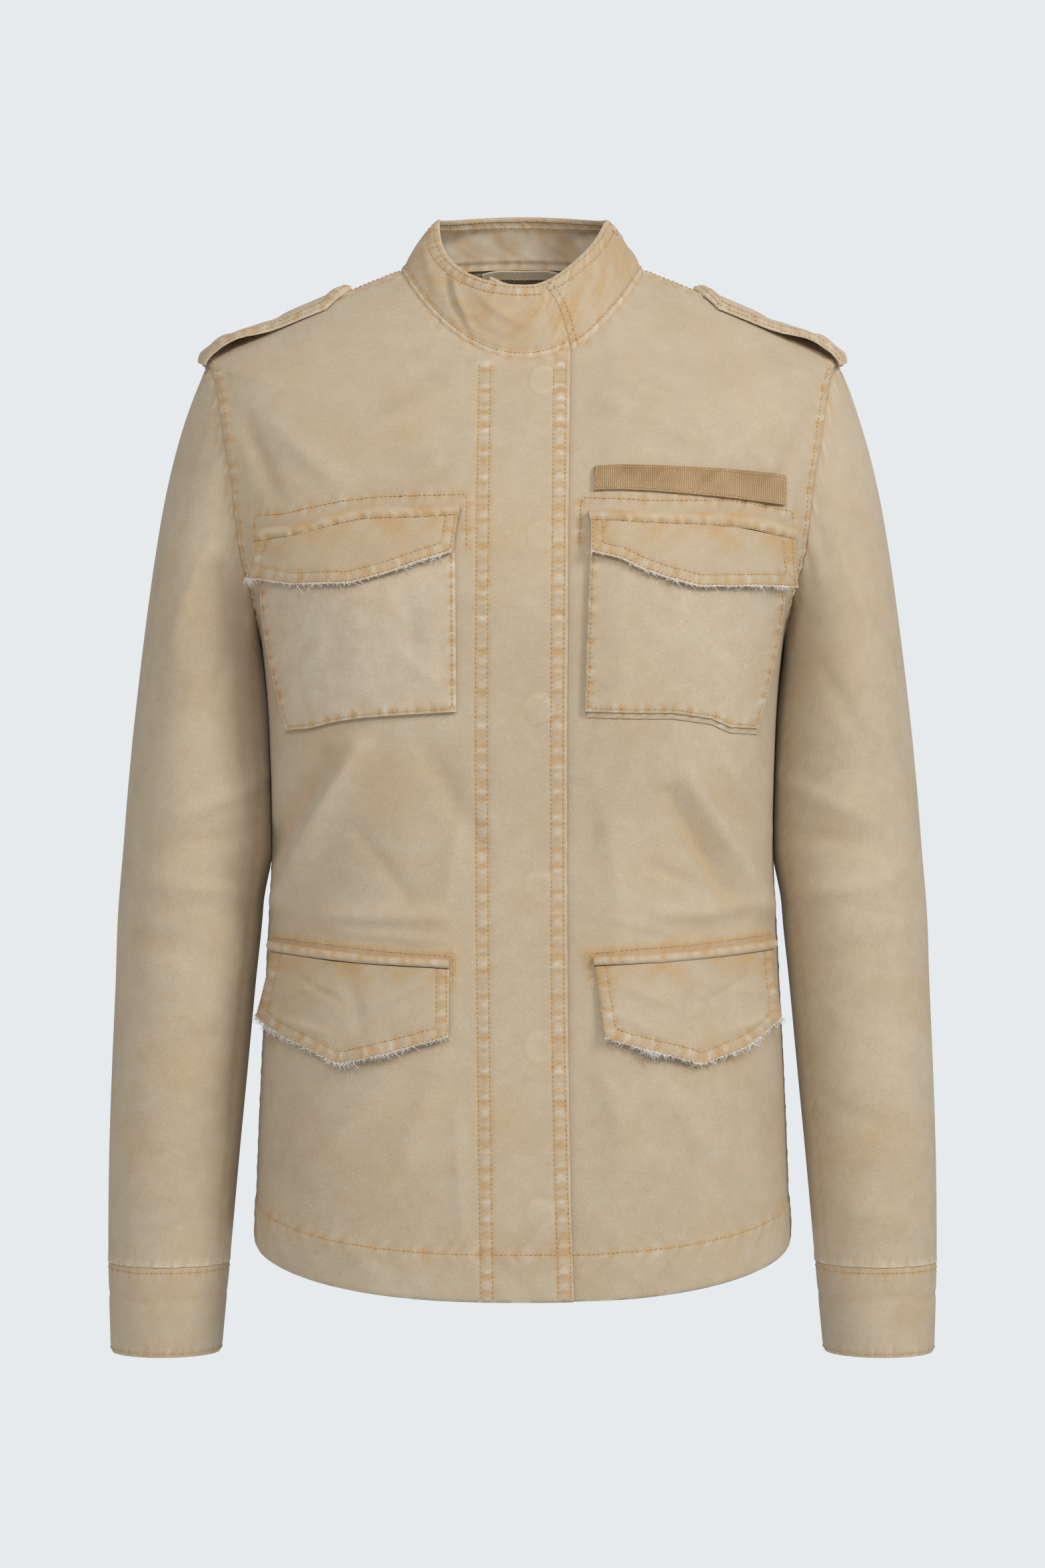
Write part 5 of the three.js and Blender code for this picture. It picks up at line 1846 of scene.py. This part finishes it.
    def wear(self, cloth: Cloth, density: float, seed: int) -> None:
        """Fray a flap's lower edge, in stretches so that each follows its own way out.

        Args:
            cloth: The flap.
            density: How many yarns a millimetre, at its most worn.
            seed: Starts the yarns' random lengths.
        """
        line = Line(cloth.settled[-1])
        normals = cloth.normals[-1]
        stops = np.linspace(0.0, line.length, 13)
        for number, (start, end) in enumerate(zip(stops[:-1], stops[1:], strict=True)):
            run = line.at(np.linspace(start, end, 12))
            middle = int(0.5 * (start + end) / line.length * (len(normals) - 1))
            way = unit(run[-1] - run[0])
            out = unit(np.cross(way, normals[middle]))
            out = out * (-1.0 if out[2] > 0.0 else 1.0)
            self.frays.along(run, out, normals[middle], density, seed * 31 + number)


class NodeBoard:
    """A node tree being laid out, with short ways to add and link its nodes."""

    def __init__(self, tree: bpy.types.NodeTree) -> None:
        """Keep the tree."""
        self.tree = tree

    def add(self, kind: str, **settings: object) -> bpy.types.Node:
        """Add a node of a kind and set its properties.

        Args:
            kind: The node's type name.
            **settings: Property values.

        Returns:
            The node.
        """
        node = self.tree.nodes.new(kind)
        for key, value in settings.items():
            setattr(node, key, value)
        return node

    def feed(self, socket: Socket, source: object) -> None:
        """Link a socket to an output, or give it a plain value.

        Args:
            socket: The socket.
            source: An output or a value.
        """
        if isinstance(source, Socket):
            self.tree.links.new(source, socket)
        else:
            socket.default_value = source

    def maths(self, operation: str, *values: object, clamp: bool = False) -> Socket:
        """One sum.

        Args:
            operation: Which sum.
            *values: Outputs or numbers, in order.
            clamp: Whether the result stays from 0 to 1.

        Returns:
            The result.
        """
        node = self.add("ShaderNodeMath", operation=operation, use_clamp=clamp)
        for number, value in enumerate(values):
            self.feed(node.inputs[number], value)
        return node.outputs[0]

    def blend(self, share: object, first: object, second: object, way: str = "MIX") -> Socket:
        """Mix two colours.

        Args:
            share: How much of the second.
            first: A colour or an output.
            second: A colour or an output.
            way: How they mix.

        Returns:
            The mixed colour.
        """
        node = self.add("ShaderNodeMix", data_type="RGBA", blend_type=way, clamp_factor=True)
        self.feed(node.inputs["Factor"], share)
        self.feed(node.inputs[6], first)
        self.feed(node.inputs[7], second)
        return node.outputs[2]

    def noise(self, vector: Socket, scale: float, detail: float, low: float, high: float) -> Socket:
        """Noise stretched so that low becomes 0 and high becomes 1.

        Args:
            vector: The coordinates.
            scale: How fine it is.
            detail: How many finer layers.
            low: The noise value that becomes 0.
            high: The noise value that becomes 1.

        Returns:
            The share.
        """
        node = self.add("ShaderNodeTexNoise")
        self.feed(node.inputs["Vector"], vector)
        node.inputs["Scale"].default_value = scale
        node.inputs["Detail"].default_value = detail
        node.inputs["Roughness"].default_value = 0.6
        ramp = self.add("ShaderNodeMapRange", clamp=True)
        self.feed(ramp.inputs["Value"], node.outputs[0])
        ramp.inputs["From Min"].default_value = low
        ramp.inputs["From Max"].default_value = high
        return ramp.outputs["Result"]


class DyeHouse:
    """Builds the shared effects once, and a material for each finish."""

    def __init__(self) -> None:
        """Make the weave and the wash groups."""
        self.weave = self.weave_group()
        self.wash = self.wash_group()
        self.made: dict[str, bpy.types.Material] = {}

    @staticmethod
    def group(
        name: str, inputs: dict[str, str], outputs: dict[str, str]
    ) -> tuple[bpy.types.NodeTree, NodeBoard, bpy.types.Node, bpy.types.Node]:
        """An empty group with named sockets.

        Args:
            name: The group's name.
            inputs: Socket types by name.
            outputs: Socket types by name.

        Returns:
            The group, its board, its input node and its output node.
        """
        tree = bpy.data.node_groups.new(name, "ShaderNodeTree")
        for label, kind in inputs.items():
            tree.interface.new_socket(label, in_out="INPUT", socket_type=kind)
        for label, kind in outputs.items():
            tree.interface.new_socket(label, in_out="OUTPUT", socket_type=kind)
        board = NodeBoard(tree)
        return tree, board, board.add("NodeGroupInput"), board.add("NodeGroupOutput")

    def weave_group(self) -> bpy.types.NodeTree:
        """The weave: slanting ribs, crossed by finer yarns, with slubs and thin places.

        The rib's share is a half plus half the sine of the place across the ribs over the pitch.

        Returns:
            The group.
        """
        tree, board, given, result = self.group(
            "Ribbed weave",
            {"Chart": "NodeSocketVector", "Pitch": "NodeSocketFloat", "Turn": "NodeSocketFloat"},
            {"Ribs": "NodeSocketFloat", "Height": "NodeSocketFloat"},
        )
        turned = board.add("ShaderNodeVectorRotate", rotation_type="Z_AXIS")
        board.feed(turned.inputs["Vector"], given.outputs["Chart"])
        board.feed(turned.inputs["Angle"], given.outputs["Turn"])
        split = board.add("ShaderNodeSeparateXYZ")
        board.feed(split.inputs[0], turned.outputs[0])
        drift = board.noise(given.outputs["Chart"], 0.22, 2.0, 0.3, 0.7)
        place = board.maths("ADD", split.outputs[1], board.maths("MULTIPLY", drift, 0.7))
        pitch = given.outputs["Pitch"]
        phase = board.maths("DIVIDE", board.maths("MULTIPLY", place, 2.0 * math.pi), pitch)
        ribs = board.maths("MULTIPLY_ADD", board.maths("SINE", phase), 0.5, 0.5)
        across = board.maths("DIVIDE", board.maths("MULTIPLY", split.outputs[0], 4.4 * math.pi), pitch)
        yarn = board.maths("MULTIPLY", board.maths("SINE", board.maths("ADD", across, phase)), 0.16)
        slub = board.noise(given.outputs["Chart"], 0.9, 3.0, 0.25, 0.75)
        mixed = board.maths("MULTIPLY", board.maths("ADD", ribs, yarn), board.maths("ADD", slub, 0.45))
        board.feed(result.inputs["Ribs"], board.maths("MULTIPLY", mixed, 0.9, clamp=True))
        board.feed(result.inputs["Height"], mixed)
        return tree

    def wash_group(self) -> bpy.types.NodeTree:
        """The wash: clouds of deeper dye, worn pale edges and rusty furrows, painted highlight and shade
        from the attributes, and painted shade between the weave's ribs.

        Returns:
            The group.
        """
        tree, board, given, result = self.group(
            "Garment wash",
            {"Place": "NodeSocketVector", "Base": "NodeSocketColor", "Deep": "NodeSocketColor",
             "Pale": "NodeSocketColor", "Rust": "NodeSocketColor", "Paleness": "NodeSocketFloat",
             "Rustiness": "NodeSocketFloat", "Ribs": "NodeSocketFloat", "Rib shade": "NodeSocketFloat"},
            {"Colour": "NodeSocketColor", "Roughness": "NodeSocketFloat"},
        )
        place = given.outputs["Place"]
        base, deep, pale, rust = (given.outputs[label] for label in ("Base", "Deep", "Pale", "Rust"))
        cloud = board.noise(place, 14.0, 4.0, 0.36, 0.72)
        mottle = board.noise(place, 85.0, 3.0, 0.34, 0.70)
        speck = board.noise(place, 620.0, 2.0, 0.30, 0.72)
        colour = board.blend(board.maths("MULTIPLY", cloud, 0.42), base, deep)
        colour = board.blend(board.maths("MULTIPLY", mottle, 0.20), colour, pale)
        tan = board.noise(place, 21.0, 3.0, 0.50, 0.74)
        colour = board.blend(board.maths("MULTIPLY", tan, 0.34), colour, rust)
        patchy = board.maths("MULTIPLY_ADD", mottle, 0.55, 0.55)
        colour = board.blend(board.maths("MULTIPLY", given.outputs["Paleness"], patchy), colour, pale)
        colour = board.blend(board.maths("MULTIPLY", given.outputs["Rustiness"], 0.85), colour, rust)
        # Painted shade in the furrows between the weave's ribs, with a fine speckle of the cloth's own
        # tone.
        furrow = board.maths("SUBTRACT", 1.0, given.outputs["Ribs"])
        dark = board.maths("MULTIPLY", furrow, given.outputs["Rib shade"])
        dark = board.maths("ADD", dark, board.maths("MULTIPLY", speck, 0.07))
        shade = board.add("ShaderNodeCombineColor")
        light = board.maths("SUBTRACT", 1.0, dark)
        for socket in shade.inputs[:3]:
            board.feed(socket, light)
        board.feed(result.inputs["Colour"], board.blend(1.0, colour, shade.outputs[0], "MULTIPLY"))
        board.feed(result.inputs["Roughness"], board.maths("MULTIPLY_ADD", mottle, 0.08, 0.86))
        return tree

    def dye(self, finish: Finish) -> bpy.types.Material:
        """The material of a finish, made once.

        Args:
            finish: The finish.

        Returns:
            The material.
        """
        if finish.name in self.made:
            return self.made[finish.name]
        material = bpy.data.materials.new(finish.name)
        material.use_nodes = True
        material.node_tree.nodes.clear()
        board = NodeBoard(material.node_tree)
        chart = board.add("ShaderNodeUVMap", uv_map="cloth").outputs[0]
        weave = board.add("ShaderNodeGroup", node_tree=self.weave)
        board.feed(weave.inputs["Chart"], chart)
        weave.inputs["Pitch"].default_value = finish.pitch
        weave.inputs["Turn"].default_value = math.radians(finish.turn - 90.0)
        wash = board.add("ShaderNodeGroup", node_tree=self.wash)
        board.feed(wash.inputs["Place"], board.add("ShaderNodeTexCoord").outputs["Object"])
        for label, colour in (("Base", finish.base), ("Deep", finish.deep), ("Pale", finish.pale),
                              ("Rust", finish.rust)):
            wash.inputs[label].default_value = Finish.linear(colour)
        # The pale and rust attributes carry dye and wear, and also painted highlight and painted shade from
        # folds, rolled pieces, the patch and the collar's inner face.
        for label, name in (("Paleness", "pale"), ("Rustiness", "rust")):
            layer = board.add("ShaderNodeAttribute", attribute_name=name)
            board.feed(wash.inputs[label], layer.outputs["Fac"])
        board.feed(wash.inputs["Ribs"], weave.outputs["Ribs"])
        wash.inputs["Rib shade"].default_value = finish.weave
        shader = board.add("ShaderNodeBsdfPrincipled")
        board.feed(shader.inputs["Base Color"], wash.outputs["Colour"])
        board.feed(shader.inputs["Roughness"], wash.outputs["Roughness"])
        shader.inputs["Specular IOR Level"].default_value = 0.22
        shader.inputs["Sheen Weight"].default_value = 0.12
        shader.inputs["Sheen Roughness"].default_value = 0.5
        bump = board.add("ShaderNodeBump")
        bump.inputs["Strength"].default_value = finish.bump
        bump.inputs["Distance"].default_value = 0.0004
        board.feed(bump.inputs["Height"], weave.outputs["Height"])
        board.feed(shader.inputs["Normal"], bump.outputs[0])
        output = board.add("ShaderNodeOutputMaterial")
        board.feed(output.inputs["Surface"], shader.outputs[0])
        self.made[finish.name] = material
        return material

    def snap(self) -> bpy.types.Material:
        """The snaps' painted metal, with brushed marks that let the bare metal through.

        Returns:
            The material.
        """
        material = bpy.data.materials.new("snap_metal")
        material.use_nodes = True
        board = NodeBoard(material.node_tree)
        shader = material.node_tree.nodes["Principled BSDF"]
        place = board.add("ShaderNodeTexCoord").outputs["Object"]
        worn = board.noise(place, 900.0, 3.0, 0.52, 0.66)
        paint, bare = Finish.linear((150, 134, 108)), Finish.linear((176, 170, 160))
        board.feed(shader.inputs["Base Color"], board.blend(worn, paint, bare))
        board.feed(shader.inputs["Metallic"], board.maths("MULTIPLY", worn, 0.9))
        board.feed(shader.inputs["Roughness"], board.maths("MULTIPLY_ADD", worn, -0.2, 0.55))
        return material


@dataclass
class Studio:
    """The plain pale room: a floor far below, soft lights and the camera."""

    distance: float = 2.6
    height: float = -0.323
    frame_height: float = 0.98784
    floor: float = -1.4

    def floor_disc(self) -> None:
        """A pale disc under the jacket: rings of points at a share of the radius."""
        turn = 2.0 * np.pi * np.arange(96) / 96.0
        ring = np.stack([2.4 * np.cos(turn), 2.4 * np.sin(turn), 0.0 * turn], axis=-1)
        places = np.concatenate([share * ring for share in (0.02, 0.5, 1.0)]) + (0.0, 0.0, self.floor)
        i = np.arange(96)
        after = (i + 1) % 96
        inner = np.stack([i, 96 + i, 96 + after, after], axis=-1)
        mesh = bpy.data.meshes.new("studio_floor")
        mesh.from_pydata(places.tolist(), [], [*inner.tolist(), *(inner + 96).tolist(), i.tolist()])
        disc = bpy.data.objects.new("studio_floor", mesh)
        bpy.context.scene.collection.objects.link(disc)
        material = bpy.data.materials.new("studio_paper")
        material.use_nodes = True
        shader = material.node_tree.nodes["Principled BSDF"]
        shader.inputs["Base Color"].default_value = Finish.linear((228, 231, 233))
        shader.inputs["Roughness"].default_value = 0.9
        mesh.materials.append(material)
        disc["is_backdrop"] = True

    def light(self, name: str, place: tuple[float, float, float], size: float, power: float) -> None:
        """A soft square light that looks at the jacket's middle.

        Args:
            name: The light's name.
            place: Where it stands, in metres.
            size: Its side.
            power: Its power in watts.
        """
        data = bpy.data.lights.new(name, "AREA")
        data.size = size
        data.energy = power
        lamp = bpy.data.objects.new(name, data)
        lamp.location = place
        aim = Vector((0.0, 0.0, self.height)) - Vector(place)
        lamp.rotation_euler = aim.to_track_quat("-Z", "Y").to_euler()
        bpy.context.scene.collection.objects.link(lamp)

    def build(self) -> None:
        """Set the room, the lights and the camera."""
        world = bpy.data.worlds.new("studio")
        bpy.context.scene.world = world
        world.use_nodes = True
        world.node_tree.nodes.clear()
        board = NodeBoard(world.node_tree)
        seen = board.add("ShaderNodeBackground")
        seen.inputs["Color"].default_value = Finish.linear((230, 234, 237))
        around = board.add("ShaderNodeBackground")
        around.inputs["Color"].default_value = Finish.linear((240, 240, 240))
        around.inputs["Strength"].default_value = 0.39
        mixed = board.add("ShaderNodeMixShader")
        board.feed(mixed.inputs[0], board.add("ShaderNodeLightPath").outputs["Is Camera Ray"])
        board.feed(mixed.inputs[1], around.outputs[0])
        board.feed(mixed.inputs[2], seen.outputs[0])
        board.feed(board.add("ShaderNodeOutputWorld").inputs["Surface"], mixed.outputs[0])
        self.floor_disc()
        self.light("key", (2.0, -1.8, 1.1), 0.9, 42.0)
        self.light("fill", (-2.2, -2.2, 0.7), 2.0, 9.0)
        self.light("front", (-0.3, -2.7, 1.2), 0.8, 27.0)
        self.light("back", (0.6, 2.3, 1.3), 2.0, 26.0)
        data = bpy.data.cameras.new("camera")
        data.sensor_fit = "VERTICAL"
        data.sensor_height = 24.0
        data.lens = 24.0 * self.distance / self.frame_height
        camera = bpy.data.objects.new("camera", data)
        camera.location = (0.0, -self.distance, self.height)
        camera.rotation_euler = (math.pi / 2.0, 0.0, 0.0)
        bpy.context.scene.collection.objects.link(camera)
        bpy.context.scene.camera = camera
        bpy.context.scene.view_settings.view_transform = "Standard"


@dataclass(frozen=True)
class Cut:
    """The flat cut of what shows of a cloth piece, in metres, and how the piece is held."""

    width: float
    length: float
    area: float | None
    held: str
    rests_on: tuple[str, ...] = ()


@dataclass(frozen=True)
class CuttingTable:
    """Every cloth piece's cut, with the sides' twins under one entry."""

    panels: tuple[tuple[str, Cut], ...] = (
        ("front_right_cloth", Cut(0.262, 0.648, 0.150, "hung")),
        ("front_left_cloth", Cut(0.258, 0.648, 0.149, "hung", ("front_right_cloth",))),
        ("back_cloth", Cut(0.475, 0.640, 0.281, "hung")),
        ("collar_cloth", Cut(0.450, 0.052, 0.0192, "hung",
                             ("front_right_cloth", "front_left_cloth", "back_cloth"))),
        ("hanger_loop_cloth", Cut(0.056, 0.010, 0.0004, "hung", ("back_cloth",))),
        ("name_tape_webbing", Cut(0.121, 0.0185, None, "laid", ("front_left_cloth",))),
    )
    twins: tuple[tuple[str, Cut], ...] = (
        ("sleeve_{}_cloth", Cut(0.370, 0.565, 0.142, "hung", ("front_{}_cloth", "back_cloth"))),
        ("cuff_{}_cloth", Cut(0.236, 0.056, None, "hung", ("sleeve_{}_cloth",))),
        ("shoulder_strap_{}_cloth", Cut(0.042, 0.108, 0.0044, "laid", ("front_{}_cloth", "back_cloth"))),
        ("chest_gusset_{}", Cut(0.116, 0.082, None, "laid", ("front_{}_cloth",))),
        ("chest_pocket_{}_cloth", Cut(0.130, 0.124, 0.0150, "laid", ("front_{}_cloth", "chest_gusset_{}"))),
        ("chest_flap_{}_cloth", Cut(0.134, 0.034, 0.0041, "laid", ("chest_pocket_{}_cloth",))),
        ("chest_band_{}_cloth", Cut(0.132, 0.014, None, "folded", ("front_{}_cloth",))),
        ("hip_welt_{}_cloth", Cut(0.118, 0.0105, None, "folded", ("front_{}_cloth",))),
        ("hip_flap_{}_cloth", Cut(0.128, 0.070, 0.0077, "hung", ("front_{}_cloth",))),
    )

    def declare(self) -> None:
        """Pass each piece and its cut to sheet, which does nothing with them."""
        for name, cut in self.panels:
            self.sheet(name, cut, "")
        for side in Side:
            for name, cut in self.twins:
                self.sheet(name, cut, side.word)

    @staticmethod
    def sheet(name: str, cut: Cut, word: str) -> None:
        """Take one piece and do nothing with it.

        Args:
            name: The piece's name, with a gap for its side; not used.
            cut: Its cut; not used.
            word: The side; not used.
        """


def main() -> None:
    """Build the jacket from the body outward, dye it, pass its cuts to a table that declares nothing, and
    set the room.
    """
    logging.basicConfig(level=logging.INFO, format="%(message)s")
    house = DyeHouse()
    body_sewing = Stitching("body_stitches")
    arm_sewing = Stitching("sleeve_stitches")
    trim_sewing = Stitching("pocket_stitches")
    neck_sewing = Stitching("collar_stitches")
    frays = Frays()
    body = Body(body_sewing)
    body.build()
    for side in Side:
        Sleeve(side, body, arm_sewing).build()
        Strap(side, neck_sewing).build()
    Collar(neck_sewing).build()
    Loop(neck_sewing).build()
    Pockets(trim_sewing, frays).build()
    threads = [sewing.make() for sewing in (body_sewing, arm_sewing, trim_sewing, neck_sewing)]
    yarns = frays.make()
    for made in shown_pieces():
        if made.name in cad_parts:
            continue
        finish = TAPE if made.name.startswith("name_tape") else TWILL
        finish = THREAD if made in threads else FRAY if made == yarns else finish
        made.data.materials.clear()
        made.data.materials.append(house.dye(finish))
    metal = house.snap()
    for number in range(1, 7):
        for material_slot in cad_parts[f"snap_{number}"].material_slots:
            material_slot.material = metal
    CuttingTable().declare()
    Studio().build()


if __name__ == "__main__":
    main()
